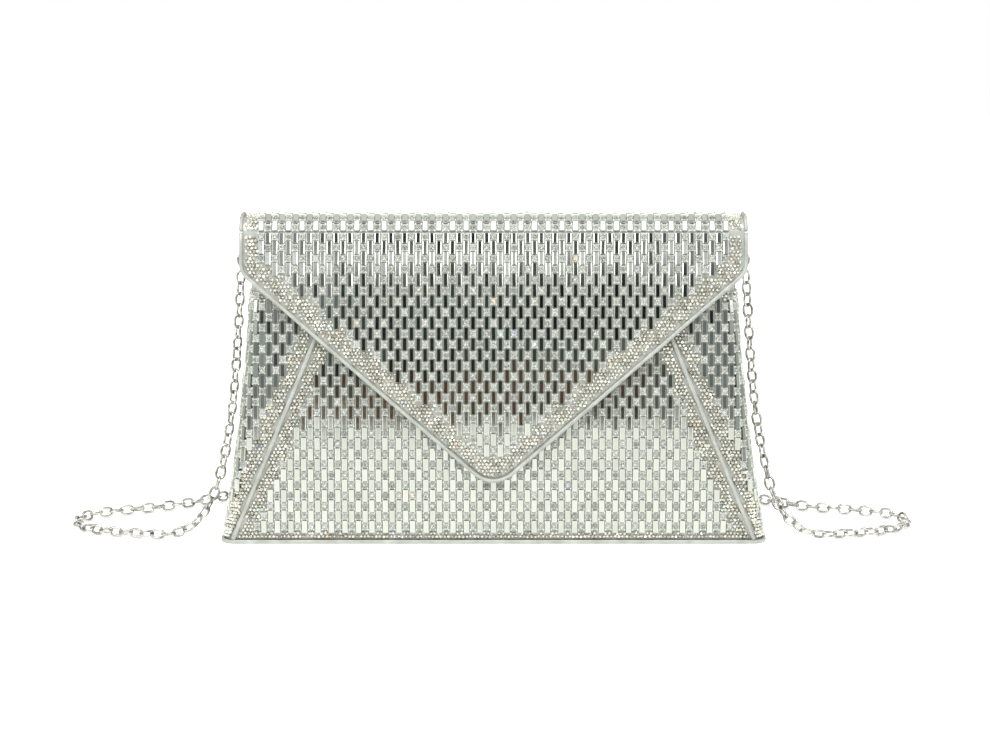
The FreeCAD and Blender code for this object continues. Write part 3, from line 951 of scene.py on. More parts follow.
@dataclass
class StoneField:
    """One sheet of stones: columns of baguettes and set round stones, with a border of crystals.

    Each column repeats a baguette and a square cell, and every other column is moved by half the
    repeat. Where a whole block no longer fits, the sheet is filled with small crystals.
    """

    name: str
    surface: Callable
    spread: tuple[float, float]
    rise: tuple[float, float]
    inside: Callable
    blocks: Callable
    body: str
    nodes: tuple[str, ...]
    phase: float = 0.0
    short: ShortRow | None = None
    seed: int = SEED
    column: float = 3.2
    repeat: float = 9.9
    baguette: tuple[float, float] = (2.5, 6.05)
    cell: tuple[float, float] = (3.15, 3.7)
    crystal_pitch: float = 1.8
    crystal_gap: float = 0.4
    crystal_stray: float = 0.1
    crystal_sizes: tuple[float, float] = (0.76, 1.1)
    stone_lift: float = 0.35
    prong: float = 0.62
    prong_seat: tuple[float, float] = (1.3, 1.58)
    random: np.random.Generator = field(init=False)

    def __post_init__(self) -> None:
        """Seed the field's own source of chance."""
        self.random = np.random.default_rng(self.seed)

    def column_numbers(self) -> np.ndarray:
        """Numbers of the columns that lie within the sheet's spread; column 0 is in the middle."""
        first, last = (edge / self.column for edge in self.spread)
        return np.arange(math.ceil(first), math.floor(last) + 1)

    def columns(self, shift: float) -> tuple[np.ndarray, np.ndarray]:
        """Centres of one kind of block over the whole sheet.

        Args:
            shift: Place of the block in the repeat.

        Returns:
            The two parameters of each centre.
        """
        count = int((self.rise[1] - self.rise[0]) / self.repeat) + 3
        k, j = np.meshgrid(self.column_numbers(), np.arange(-1, count), indexing="ij")
        across = k * self.column
        up = self.rise[0] + self.phase + shift + j * self.repeat + (k % 2) * self.repeat / 2
        return across.ravel(), up.ravel()

    def fitting(self, size: tuple[float, float], shift: float) -> tuple[np.ndarray, np.ndarray]:
        """Centres of the blocks whose four corners all lie where blocks may lie."""
        a, b = self.columns(shift)
        keep = np.ones(len(a), bool)
        for sa in (-0.5, 0.5):
            for sb in (-0.5, 0.5):
                keep &= self.blocks(a + sa * size[0], b + sb * size[1])
        return a[keep], b[keep]

    def short_row(self) -> tuple[np.ndarray, np.ndarray]:
        """Centres of the shorter baguettes that close every other column at the fold's line."""
        k = self.column_numbers()
        a = k[k % 2 == self.short.parity] * self.column
        b = np.full(len(a), self.short.middle)
        keep = self.blocks(a - self.column / 2, b) & self.blocks(a + self.column / 2, b)
        return a[keep], b[keep]

    def border(
        self, taken: list[tuple[np.ndarray, np.ndarray, tuple[float, float]]]
    ) -> tuple[np.ndarray, np.ndarray]:
        """Centres of crystals, in offset rows, wherever the sheet isn't taken by blocks.

        Args:
            taken: Centres and size of each kind of block.

        Returns:
            The two parameters of each crystal.
        """
        pitch = self.crystal_pitch
        a = np.arange(self.spread[0], self.spread[1], pitch)
        b = np.arange(self.rise[0], self.rise[1], pitch * 0.9)
        a, b = np.meshgrid(a, b, indexing="ij")
        a = a + pitch / 2 * (np.arange(b.shape[1]) % 2)[None, :]
        a = (a + self.random.normal(0, self.crystal_stray, a.shape)).ravel()
        b = (b + self.random.normal(0, self.crystal_stray, b.shape)).ravel()
        free = self.inside(a, b)
        for ca, cb, (width, height) in taken:
            if len(ca) == 0:
                continue
            near_a = np.abs(a[:, None] - ca[None]) < width / 2 + self.crystal_gap
            near_b = np.abs(b[:, None] - cb[None]) < height / 2 + self.crystal_gap
            free &= ~(near_a & near_b).any(axis=1)
        return a[free], b[free]

    def set_stones(self, kind: Stone, shape: tuple[np.ndarray, np.ndarray], at: np.ndarray, axes: tuple,
                   scale: np.ndarray | None = None) -> tuple[np.ndarray, np.ndarray, np.ndarray]:
        """Scatter one kind of stone with the unevenness of its cut.

        Args:
            kind: The kind of stone.
            shape: Points and faces of one stone.
            at: Seat of each stone.
            axes: Unit vectors across, up and out at each seat.
            scale: A size factor per stone.

        Returns:
            Points, faces and a tone per face.
        """
        cut = STONE_CUTS[kind]
        return scatter(shape, at, axes, self.random, cut.tilt, cut.spin, scale)

    def bars(self, centres: tuple[np.ndarray, np.ndarray],
             size: tuple[float, float]) -> tuple[np.ndarray, np.ndarray, np.ndarray]:
        """Baguettes of one size at the given centres: points, faces and a tone per face."""
        at, axes = surface_axes(self.surface, *centres)
        return self.set_stones(Stone.BAGUETTE, STONE_CUTS[Stone.BAGUETTE].block(*size), at, axes)

    def prongs(self, at: np.ndarray, axes: tuple) -> list[tuple[np.ndarray, np.ndarray, np.ndarray]]:
        """The four prongs of every round stone, one set of arrays for each corner of the cup."""
        bead = STONE_CUTS[Stone.PRONG].block(self.prong, self.prong)
        corners = []
        for sa in (-1, 1):
            for sb in (-1, 1):
                seat = at + axes[0] * sa * self.prong_seat[0] + axes[1] * sb * self.prong_seat[1]
                corners.append(self.set_stones(Stone.PRONG, bead, seat, axes))
        return corners

    def build(self, glass: dict[Stone, bpy.types.Material]) -> None:
        """Make the sheet's five pieces: baguettes, cups, round stones, crystals and prongs."""
        long_bars = self.fitting(self.baguette, 0.0)
        cells = self.fitting(self.cell, self.repeat / 2)
        taken = [(*long_bars, self.baguette), (*cells, self.cell)]
        pieces = {Stone.BAGUETTE: [self.bars(long_bars, self.baguette)]}
        if self.short:
            size = (self.baguette[0], self.short.length)
            short_bars = self.short_row()
            taken.append((*short_bars, size))
            pieces[Stone.BAGUETTE].append(self.bars(short_bars, size))
        free = self.border(taken)
        at, axes = surface_axes(self.surface, *cells)
        lifted = at + axes[2] * self.stone_lift
        plate = STONE_CUTS[Stone.CUP].block(*self.cell)
        pieces[Stone.CUP] = [self.set_stones(Stone.CUP, plate, at, axes)]
        cut = STONE_CUTS[Stone.ROUND]
        pieces[Stone.ROUND] = [self.set_stones(Stone.ROUND, star_cut(cut.radius, cut.thick), lifted, axes)]
        prongs = self.prongs(at, axes)
        at, axes = surface_axes(self.surface, *free)
        size = self.random.uniform(*self.crystal_sizes, len(at))
        cut = STONE_CUTS[Stone.CRYSTAL]
        small = brilliant(cut.radius, cut.thick)
        pieces[Stone.CRYSTAL] = [self.set_stones(Stone.CRYSTAL, small, at, axes, size)]
        pieces[Stone.PRONG] = prongs
        for kind, sets in pieces.items():
            self.finish(f"{self.name}_{kind.value}s", sets, glass[kind])

    def finish(self, name: str, sets: list[tuple], material: bpy.types.Material) -> None:
        """Join sets of stones into one flat-shaded piece that rides with the sheet's body."""
        points, polygons = merged([(p, [f]) for p, f, _ in sets if len(p)])
        tone = np.concatenate([t for p, _, t in sets if len(p)])
        piece = make_piece(name, points, polygons, material, smooth=False, tone=tone)
        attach(piece, self.body)
        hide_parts(*self.nodes)


@dataclass
class StoneCovering:
    """Every sheet of stones on the bag: flap, fold, centre front and the two wrapped sides."""

    form: BagForm = FORM
    slope_band: float = 8.6
    side_band: float = 7.0
    seam_band: float = 5.8
    base_band: float = 3.3
    edge_gap: float = 0.9
    cover: float = 10.0
    seam_gap: float = 0.55
    side_gap: float = 2.2
    side_block_gap: float = 1.3
    side_top_gap: float = 1.0
    fold_gaps: tuple[float, float] = (1.0, 2.6)
    fold_block_gaps: tuple[float, float] = (0.05, 1.9)
    flap_from: float = 28.0
    flap_short_at: float = 144.8
    fold_short_at: float = 2.5
    fold_phase: float = 1.93
    wall_phase: float = 6.5
    front_reach: float = 125.0
    front_top: float = 112.0
    side_reach: tuple[float, float] = (40.0, 160.0)

    def flap_depth(self, x: np.ndarray, z: np.ndarray) -> np.ndarray:
        """Distance inside the slanted edge of the flap; negative below it."""
        f = self.form
        return (z - f.flap_apex) * math.cos(f.flap_angle) - np.abs(x) * math.sin(f.flap_angle)

    def seam_depth(self, x: np.ndarray, z: np.ndarray) -> np.ndarray:
        """Distance inside the slanted seam, towards the middle; negative on the side panel."""
        f = self.form
        return (f.seam_base_x - f.seam_slope * z - np.abs(x)) / math.hypot(1, f.seam_slope)

    def free_of_flap(self, x: np.ndarray, z: np.ndarray) -> np.ndarray:
        """Whether a place is below the flap or no deeper under it than the cover."""
        return self.flap_depth(x, z) < self.cover

    def flap_sheet(self) -> StoneField:
        """The stones of the flap, whose columns end at the fold's line."""
        f = self.form
        half = f.flap_half_width
        edge = f.piping + self.edge_gap

        def inside(x: np.ndarray, z: np.ndarray) -> np.ndarray:
            """Where crystals may lie."""
            low = f.flap_low(x, edge)
            return (np.abs(x) < half - edge) & (z > low) & (z < f.flap_top - self.edge_gap - FOLD_CLEARANCE)

        def blocks(x: np.ndarray, z: np.ndarray) -> np.ndarray:
            """Where the corners of blocks may lie."""
            deep = self.flap_depth(x, z) > self.slope_band
            return deep & (np.abs(x) < half - self.side_band) & (z < f.flap_top)

        return StoneField(
            "flap", lambda x, z: f.front(x, z, f.flap_stone_in), (-half, half),
            (self.flap_from, f.flap_top), inside, blocks, "flap", ("flap_stones",),
            phase=self.flap_phase(), seed=11,
            short=ShortRow(self.flap_short_at - FOLD_CLEARANCE, 1),
        )

    def fold_sheet(self) -> StoneField:
        """The stones over the mouth, whose rows carry on from the flap's."""
        f = self.form
        half = f.flap_half_width
        edge = f.piping + self.edge_gap
        length = f.arch_length(f.stone)
        front_gap, back_gap = self.fold_gaps
        front_block_gap, back_block_gap = self.fold_block_gaps

        def inside(x: np.ndarray, t: np.ndarray) -> np.ndarray:
            """Where crystals may lie."""
            return (np.abs(x) < half - edge) & (t > front_gap) & (t < length - back_gap)

        def blocks(x: np.ndarray, t: np.ndarray) -> np.ndarray:
            """Where the corners of blocks may lie."""
            within = np.abs(x) < half - self.side_band
            return within & (t > front_block_gap) & (t < length - back_block_gap)

        return StoneField(
            "fold", lambda x, t: f.arch(t, x, f.stone), (-half, half), (0.0, length),
            inside, blocks, "fold_strip", ("fold_stones",), phase=self.fold_phase, seed=13,
            short=ShortRow(self.fold_short_at, 0),
        )

    def front_sheet(self) -> StoneField:
        """The stones of the front between the two slanted seams."""
        f = self.form

        def inside(x: np.ndarray, z: np.ndarray) -> np.ndarray:
            """Where crystals may lie."""
            inner = self.seam_depth(x, z) > f.seam_width / 2 + self.seam_gap
            return inner & (z > f.binding_top + self.edge_gap) & self.free_of_flap(x, z)

        def blocks(x: np.ndarray, z: np.ndarray) -> np.ndarray:
            """Where the corners of blocks may lie."""
            inner = self.seam_depth(x, z) > self.seam_band
            return inner & (z > f.binding_top + self.base_band) & self.free_of_flap(x, z)

        return StoneField(
            "front", lambda s, z: f.around(s, z, -f.stone), (-self.front_reach, self.front_reach),
            (f.binding_top, self.front_top), inside, blocks, "body", ("front_stones_centre",),
            phase=self.wall_phase, seed=17,
        )

    def side_sheet(self, side: int, name: str) -> StoneField:
        """The stones from a slanted seam round to the middle of that side.

        Args:
            side: -1 for the left, 1 for the right.
            name: The side's name.

        Returns:
            The sheet.
        """
        f = self.form
        near, far = self.side_reach
        reach = (near, far) if side > 0 else (-far, -near)

        def inside(s: np.ndarray, z: np.ndarray) -> np.ndarray:
            """Where crystals may lie."""
            outer = self.seam_depth(s, z) < -(f.seam_width / 2 + self.seam_gap)
            within = np.abs(s) < f.quarter_length(z) - self.side_gap
            low = (z > f.binding_top + self.edge_gap) & (z < f.side_stones_top - self.side_top_gap)
            return outer & within & low & self.free_of_flap(s, z)

        def blocks(s: np.ndarray, z: np.ndarray) -> np.ndarray:
            """Where the corners of blocks may lie."""
            outer = self.seam_depth(s, z) < -self.seam_band
            within = np.abs(s) < f.quarter_length(z) - self.side_block_gap
            low = (z > f.binding_top + self.base_band) & (z < f.side_stones_top)
            return outer & within & low & self.free_of_flap(s, z)

        return StoneField(
            "side_" + name, lambda s, z: f.around(s, z, -f.stone), reach,
            (f.binding_top, f.side_stones_top), inside, blocks, "body",
            ("front_stones_" + name,), phase=self.wall_phase, seed=19 + side,
        )

    def flap_phase(self) -> float:
        """Shift of the flap's columns that ends a cell of the even columns at the fold's line."""
        rows = self.form.flap_top - self.flap_from - StoneField.cell[1] / 2 - FOLD_CLEARANCE
        return rows % StoneField.repeat - StoneField.repeat / 2

    def build(self, glass: dict[Stone, bpy.types.Material]) -> None:
        """Make all the sheets."""
        sheets = [self.flap_sheet(), self.fold_sheet(), self.front_sheet()]
        sheets += [self.side_sheet(-1, "left"), self.side_sheet(1, "right")]
        for sheet in sheets:
            sheet.build(glass)


# ---------------------------------------------------------------- skins, linings and bindings


@dataclass(frozen=True)
class Cut:
    """The flat size that a panel of cloth or leather is cut to, in metres, and what it is glued to."""

    width: float
    length: float
    area: float
    rests_on: tuple[str, ...]


@dataclass
class BagSkins:
    """The faux leather and satin of the bag: walls, flap, fold, bindings, piping, pocket, stitches."""

    leather: bpy.types.Material
    trim: bpy.types.Material
    satin: bpy.types.Material
    thread: bpy.types.Material
    form: BagForm = FORM
    foot: float = 0.8
    crease_gap: float = 0.6
    piping_slim: float = 0.3
    fold_piping_from: float = 0.35
    fold_piping_share: float = 0.93
    seam_slim: float = 0.6
    seam_rise: tuple[float, float] = (2.0, 108.0)
    side_rise: tuple[float, float] = (2.5, 121.0)
    stitch_edge: float = 2.2

    def back_ring(self, z: np.ndarray, out: float, count: int = 120) -> np.ndarray:
        """Rows of points across the back wall, from the left side's middle to the right's.

        Each row is the front's row turned to the back: the same place with y of the other sign.
        """
        share = np.linspace(-1, 1, count)
        s = share[None, :] * self.form.quarter_length(z)[:, None]
        points = self.form.around(s, z[:, None], out)
        points[..., 1] *= -1
        return points

    def front_skin(self) -> None:
        """The leather of the front and half of each side; near the mouth, where it's bare, it waves."""
        f = self.form
        dip, wave_size, wave_length = 0.25, 0.22, 46.0
        z = np.linspace(self.foot, f.rim, 60)
        s = np.linspace(-1, 1, 140)[None, :] * f.quarter_length(z)[:, None]
        bare = np.clip((z[:, None] - 100) / 30, 0, 1)
        soft = soft_wave(s, z[:, None], wave_size, wave_length) * bare
        outer = f.around(s, z[:, None], -f.stone - dip + soft)
        inner = f.around(s, z[:, None], -f.stone - f.skin)
        points, polygons = closed_shell(outer, inner)
        piece = make_piece("front_skin", points, polygons, self.leather)
        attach(piece, "body")
        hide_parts("front_panel_centre", "front_panel_left", "front_panel_right")

    def back_skin(self) -> None:
        """The leather of the back, carried up and over the back half of the fold in one piece.

        Only its outer surface waves, and by less than its thickness, so the board stays hidden.
        """
        f = self.form
        (long_size, long_reach), (short_size, short_reach) = (0.24, 88.0), (0.1, 21.0)
        deepest = 0.34
        z = np.linspace(self.foot, f.fold_z - self.crease_gap, 70)
        rows = []
        share = np.linspace(-1, 1, 120)
        held = np.clip((140.0 - z) / 40, 0, 1) * np.clip(z / 20, 0, 1)
        for out, deep in ((-f.stone, 1.0), (-f.stone - f.skin, 0.0)):
            wall = self.back_ring(z, out)
            wave = soft_wave(wall[..., 0], z[:, None], long_size, long_reach)
            wave = wave + soft_wave(wall[..., 0], z[:, None], short_size, short_reach)
            inward = (1 - share**6)[None, :] * held[:, None]
            wall[..., 1] += deep * (wave - deepest) * inward
            length = f.arch_length(-out)
            t = np.linspace(length, 0.5 * length, 16)
            x = wall[-1, :, 0] / abs(wall[-1, 0, 0]) * f.flap_half_width
            over = f.arch(t[:, None], x[None, :], -out)
            rows.append(np.concatenate([wall, over]))
        points, polygons = closed_shell(rows[0], rows[1])
        piece = make_piece("back_skin", points, polygons, self.leather)
        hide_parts("back_panel", "fold_skin")
        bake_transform(piece)

    def flap_grid(self, out: float, inset: float, columns: int = 150) -> np.ndarray:
        """Rows from the fold's crown down the flap to its edge.

        The rows of the flap share the height between the edge and the fold evenly at each place
        across, so that the grid's last row is the flap's outline.
        """
        f = self.form
        half = f.flap_half_width - inset
        x = half * np.sin(np.linspace(-math.pi / 2, math.pi / 2, columns))
        low = f.flap_low(x, inset)
        share = np.linspace(0, 1, 40)[:, None]
        z = (f.fold_z - self.crease_gap) * (1 - share) + low[None, :] * share
        hang = f.front(np.broadcast_to(x, z.shape), z, out)
        depth = f.flap_out - out
        t = np.linspace(0.5 * f.arch_length(depth), 0.0, 14)
        return np.concatenate([f.arch(t[:, None], x[None, :], depth), hang])

    def flap_skins(self) -> None:
        """The flap's leather under its stones, and the satin that lines it, both over the fold."""
        f = self.form
        sides = [
            ("flap_skin_sheet", f.flap_stone_in, f.flap_skin_in, self.leather, "silver_faux_leather",
             "flap_skin"),
            ("flap_lining_sheet", f.flap_gap + f.lining, f.flap_gap, self.satin, "satin_lining",
             "flap_lining"),
        ]
        for name, out, under, material, slot, node in sides:
            outer = self.flap_grid(out, f.piping - 0.5)
            inner = self.flap_grid(under, f.piping - 0.5)
            points, polygons = closed_shell(outer, inner)
            piece = make_piece(name, points, polygons, material)
            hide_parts(node)
            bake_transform(piece)

    def fold_lining(self) -> None:
        """The satin under the back half of the fold, down into the back of the mouth."""
        f = self.form
        x = np.linspace(-f.flap_half_width + 2, f.flap_half_width - 2, 90)
        deep = f.top_half_width - 5.0
        grids = []
        for depth, out in ((f.stone + f.skin, -3.8), (f.stone + 2 * f.skin, -4.45)):
            length = f.arch_length(depth)
            t = np.linspace(0.5 * length, length, 14)[:, None]
            over = f.arch(t, x[None, :], depth)
            z = np.linspace(f.fold_z - 1.5, 141.0, 6)[:, None]
            narrow = x[None, :] / x.max() * deep
            wall = f.front(np.broadcast_to(narrow, (6, len(x))), np.broadcast_to(z, (6, len(x))), out)
            wall[..., 1] *= -1
            grids.append(np.concatenate([over, wall]))
        points, polygons = closed_shell(grids[0], grids[1])
        piece = make_piece("fold_lining_sheet", points, polygons, self.satin)
        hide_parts("fold_lining")
        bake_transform(piece)

    def body_lining(self) -> None:
        """The satin bag inside: four walls that pucker a little, closed by the satin of the base."""
        f = self.form
        depth = f.stone + f.skin + f.board
        z = np.linspace(3.0, f.rim - 0.2, 60)
        share = np.linspace(-1, 1, 110)
        quarter = f.quarter_length(z)[:, None]
        grids = []
        for out in (-depth, -depth - f.lining):
            front = f.around(share[None, :] * quarter, z[:, None], out)
            back = front[:, ::-1] * np.array([1, -1, 1])
            ring = np.concatenate([front, back[:, 1:-1]], axis=1)
            wave = soft_wave(ring[..., 0] + ring[..., 1], ring[..., 2], 0.18, 33.0)
            if out != -depth:
                ring[..., 1] *= 1 - np.clip(wave, -0.02, 0.1) / 12
            grids.append(ring)
        points, polygons = closed_shell(grids[0], grids[1], loop=True)
        piece = make_piece("body_lining", points, polygons, self.satin)
        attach(piece, "body")
        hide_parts("front_lining", "back_lining")

    def pocket(self) -> None:
        """The slip pocket on the back lining: a satin panel that bellies out, with a turned hem."""
        f = self.form
        depth = f.stone + f.skin + f.board + f.lining
        half, low, high, fullness = 70, 42, 109, 1.3
        x = np.linspace(-half, half, 60)[None, :]
        z = np.linspace(low, high, 36)[:, None]
        swell = np.sin((z - low) / (high - low) * math.pi / 2)
        belly = fullness * np.cos(x / (2 * half) * math.pi) ** 0.8 * swell
        pair = []
        for extra in (0.6, 0.05):
            grid = f.front(x, z, 0.0)
            grid[..., 1] = -(f.half_depth(z, -depth) - extra - belly)
            grid[..., 1] *= -1
            pair.append(grid)
        points, polygons = closed_shell(pair[0], pair[1])
        piece = make_piece("pocket_panel", points, polygons, self.satin)
        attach(piece, "body")
        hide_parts("slip_pocket")
        line = pair[0][-1] + np.array([0, 0.2, 0.6])
        up = np.tile([0.0, 0.0, 1.0], (len(line), 1))
        forward = np.tile([0.0, -1.0, 0.0], (len(line), 1))
        tube = sweep(line, up, forward, oval(3.0, 1.3))
        hem = make_piece("pocket_hem_roll", *tube, self.trim)
        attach(hem, "body")
        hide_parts("pocket_hem")

    def flap_piping(self) -> None:
        """Leather-covered cord round the flap's edge, and its ends over the fold."""
        f = self.form
        edge = f.flap_edge(f.piping / 2)
        edge[:, 1] = np.minimum(edge[:, 1], f.flap_top - FOLD_CLEARANCE)
        out = (f.flap_gap + f.flap_out) / 2
        path = f.front(edge[:, 0], edge[:, 1], out)
        lean = (edge[:, 1] + f.arc_drop) / f.arc_radius
        outward = np.stack([np.zeros(len(edge)), -np.sqrt(1 - lean**2), lean], axis=-1)
        across = unit(np.cross(along(path), outward))
        section = oval(f.piping - self.piping_slim, f.flap_out - f.flap_gap, 16, 2.6)
        piece = make_piece("flap_piping_cord", *sweep(path, across, outward, section), self.trim)
        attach(piece, "flap")
        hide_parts("flap_piping")
        parts = []
        middle, height = 1.6, 3.2
        for side in (-1, 1):
            t = np.linspace(self.fold_piping_from, self.fold_piping_share * f.arch_length(middle), 30)
            x = np.full(len(t), side * (f.flap_half_width - f.piping / 2))
            over = f.arch(t, x, middle)
            away = unit(np.cross(np.tile([1.0, 0.0, 0.0], (len(t), 1)), along(over)))
            wide = np.tile([1.0, 0.0, 0.0], (len(t), 1))
            parts.append(sweep(over, wide, away, oval(f.piping - self.piping_slim, height, 16, 2.6)))
        piece = make_piece("fold_piping_ends", *merged(parts), self.trim)
        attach(piece, "fold_strip")
        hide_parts("fold_piping")

    def seam_strips(self) -> None:
        """Turned leather strips over the slanted seams and the side seams."""
        f = self.form
        section = oval(f.seam_width - self.seam_slim, 1.9, 14, 2.4)
        for side, name in ((-1, "left"), (1, "right")):
            z = np.linspace(*self.seam_rise, 60)
            s = side * (f.seam_base_x - f.seam_slope * z)
            path, (_, _, n) = surface_axes(lambda a, b: f.around(a, b, -0.95), s, z)
            across = unit(np.cross(along(path), n))
            piece = make_piece("seam_strip_" + name, *sweep(path, across, n, section), self.trim)
            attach(piece, "body")
            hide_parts("seam_piping_" + name)
            z = np.linspace(*self.side_rise, 40)
            path, (u, _, n) = surface_axes(lambda a, b: f.around(a, b, -1.2), side * f.quarter_length(z), z)
            piece = make_piece("side_strip_" + name, *sweep(path, u, n, oval(2.6, 1.5, 14, 3.0)), self.trim)
            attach(piece, "body")
            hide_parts("side_piping_" + name)

    def loop_path(self, z: float, out: float, count: int = 240) -> tuple[np.ndarray, np.ndarray]:
        """A loop round the body at one height, with the outward directions along it."""
        f = self.form
        half = np.linspace(-1, 1, count // 2, endpoint=False) * float(f.quarter_length(np.array(z)))
        front = f.around(half, z, out)
        further = f.around(half, z, out + 1)
        path = np.concatenate([front, front * np.array([-1, -1, 1])])
        away = np.concatenate([further, further * np.array([-1, -1, 1])]) - path
        return path, unit(away)

    def bindings(self) -> None:
        """The strip round the foot of the walls, and the binding round the mouth's rim."""
        f = self.form
        path, out = self.loop_path(0.95, -0.85)
        up = np.tile([0.0, 0.0, 1.0], (len(path), 1))
        foot = sweep(path, up, out, oval(1.8, 1.75, 14, 3.2), closed=True)
        piece = make_piece("base_binding_strip", *foot, self.trim)
        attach(piece, "body")
        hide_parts("base_binding")
        path, out = self.loop_path(f.rim + 0.5, -3.0)
        front = path[:, 1] < 2.0
        order = np.argsort(path[front][:, 0], kind="stable")
        rim, away = path[front][order], out[front][order]
        across = np.tile([0.0, 0.0, 1.0], (len(rim), 1))
        roll = sweep(rim, across, away, oval(1.7, 2.9, 14, 2.6))
        piece = make_piece("rim_binding_roll", *roll, self.trim)
        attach(piece, "body")
        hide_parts("rim_binding")

    def stitch_row(self, name: str, path: np.ndarray, out: np.ndarray, body: str,
                   length: float = 2.2) -> None:
        """A row of thread stitches along a path: short rounded bars with gaps between them.

        Args:
            name: The piece's name.
            path: Points along the seam, close together.
            out: Outward unit vectors at the points.
            body: The body that the row rides on.
            length: Length of a stitch.
        """
        end_gap, step = 2.0, length * 1.45
        run = distances(path)
        at = np.arange(end_gap, run[-1] - end_gap, step)
        n = unit(sampled(out, run, at))
        v = unit(sampled(along(path), run, at))
        v = unit(v - n * (v * n).sum(axis=1, keepdims=True))
        u = np.cross(v, n)
        random = np.random.default_rng(SEED)
        bar = block(0.5, length, 0.36, (0.14, 0.2), 0.3)
        points, faces, tone = scatter(bar, sampled(path, run, at), (u, v, n), random, 1.5)
        piece = make_piece(name, points, [faces], self.thread, smooth=False, tone=tone)
        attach(piece, body)

    def stitches(self) -> None:
        """Stitching round the flap's lining, and along the back's top and foot."""
        f = self.form
        edge = f.flap_edge(f.piping + self.stitch_edge)
        path = f.front(edge[:, 0], edge[:, 1], f.flap_gap)
        lean = (edge[:, 1] + f.arc_drop) / f.arc_radius
        inward = np.stack([np.zeros(len(edge)), np.sqrt(1 - lean**2), -lean], axis=-1)
        self.stitch_row("flap_lining_stitches", path, inward, "flap")
        for name, z in (("back_foot_stitches", 6.2), ("back_top_stitches", 140.5)):
            s = np.linspace(-0.93, 0.93, 120) * float(f.quarter_length(np.array(z)))
            path = f.around(s, z, -f.stone + 0.02) * np.array([1, -1, 1])
            away = unit(f.around(s, z, 1.0) * np.array([1, -1, 1]) - path)
            self.stitch_row(name, path, away, "body")

    def build(self) -> None:
        """Make every skin, lining, binding and row of stitches."""
        self.front_skin()
        self.back_skin()
        self.flap_skins()
        self.fold_lining()
        self.body_lining()
        self.pocket()
        self.flap_piping()
        self.seam_strips()
        self.bindings()
        self.stitches()


# ---------------------------------------------------------------- strap chain

CHAIN_LEFT = [
    (-0.1200, 0.0000, 0.1264), (-0.1216, 0.0004, 0.1010), (-0.1249, 0.0000, 0.0640),
    (-0.1296, -0.0006, 0.0360), (-0.1356, -0.0060, 0.0145), (-0.1470, -0.0205, 0.0030),
    (-0.1692, -0.0190, 0.0030), (-0.1974, -0.0090, 0.0030), (-0.2040, 0.0054, 0.0030),
    (-0.1984, 0.0200, 0.0030), (-0.1760, 0.0295, 0.0030), (-0.1580, 0.0370, 0.0030),
    (-0.1410, 0.0510, 0.0030), (-0.1240, 0.0685, 0.0030), (-0.1020, 0.0790, 0.0030),
    (-0.0770, 0.0820, 0.0030), (-0.0520, 0.0760, 0.0030), (-0.0280, 0.0750, 0.0030),
    (-0.0080, 0.0726, 0.0030),
]
CHAIN_RIGHT = [
    (0.1200, 0.0000, 0.1264), (0.1217, -0.0004, 0.1000), (0.1251, 0.0000, 0.0630),
    (0.1302, -0.0008, 0.0350), (0.1358, -0.0060, 0.0140), (0.1478, -0.0208, 0.0030),
    (0.1696, -0.0186, 0.0030), (0.1958, -0.0096, 0.0030), (0.2028, 0.0050, 0.0030),
    (0.1972, 0.0200, 0.0030), (0.1750, 0.0290, 0.0030), (0.1570, 0.0336, 0.0030),
    (0.1394, 0.0450, 0.0030), (0.1220, 0.0630, 0.0030), (0.1010, 0.0770, 0.0030),
    (0.0770, 0.0820, 0.0030), (0.0540, 0.0790, 0.0046), (0.0300, 0.0760, 0.0100),
    (0.0080, 0.0726, 0.0138),
]


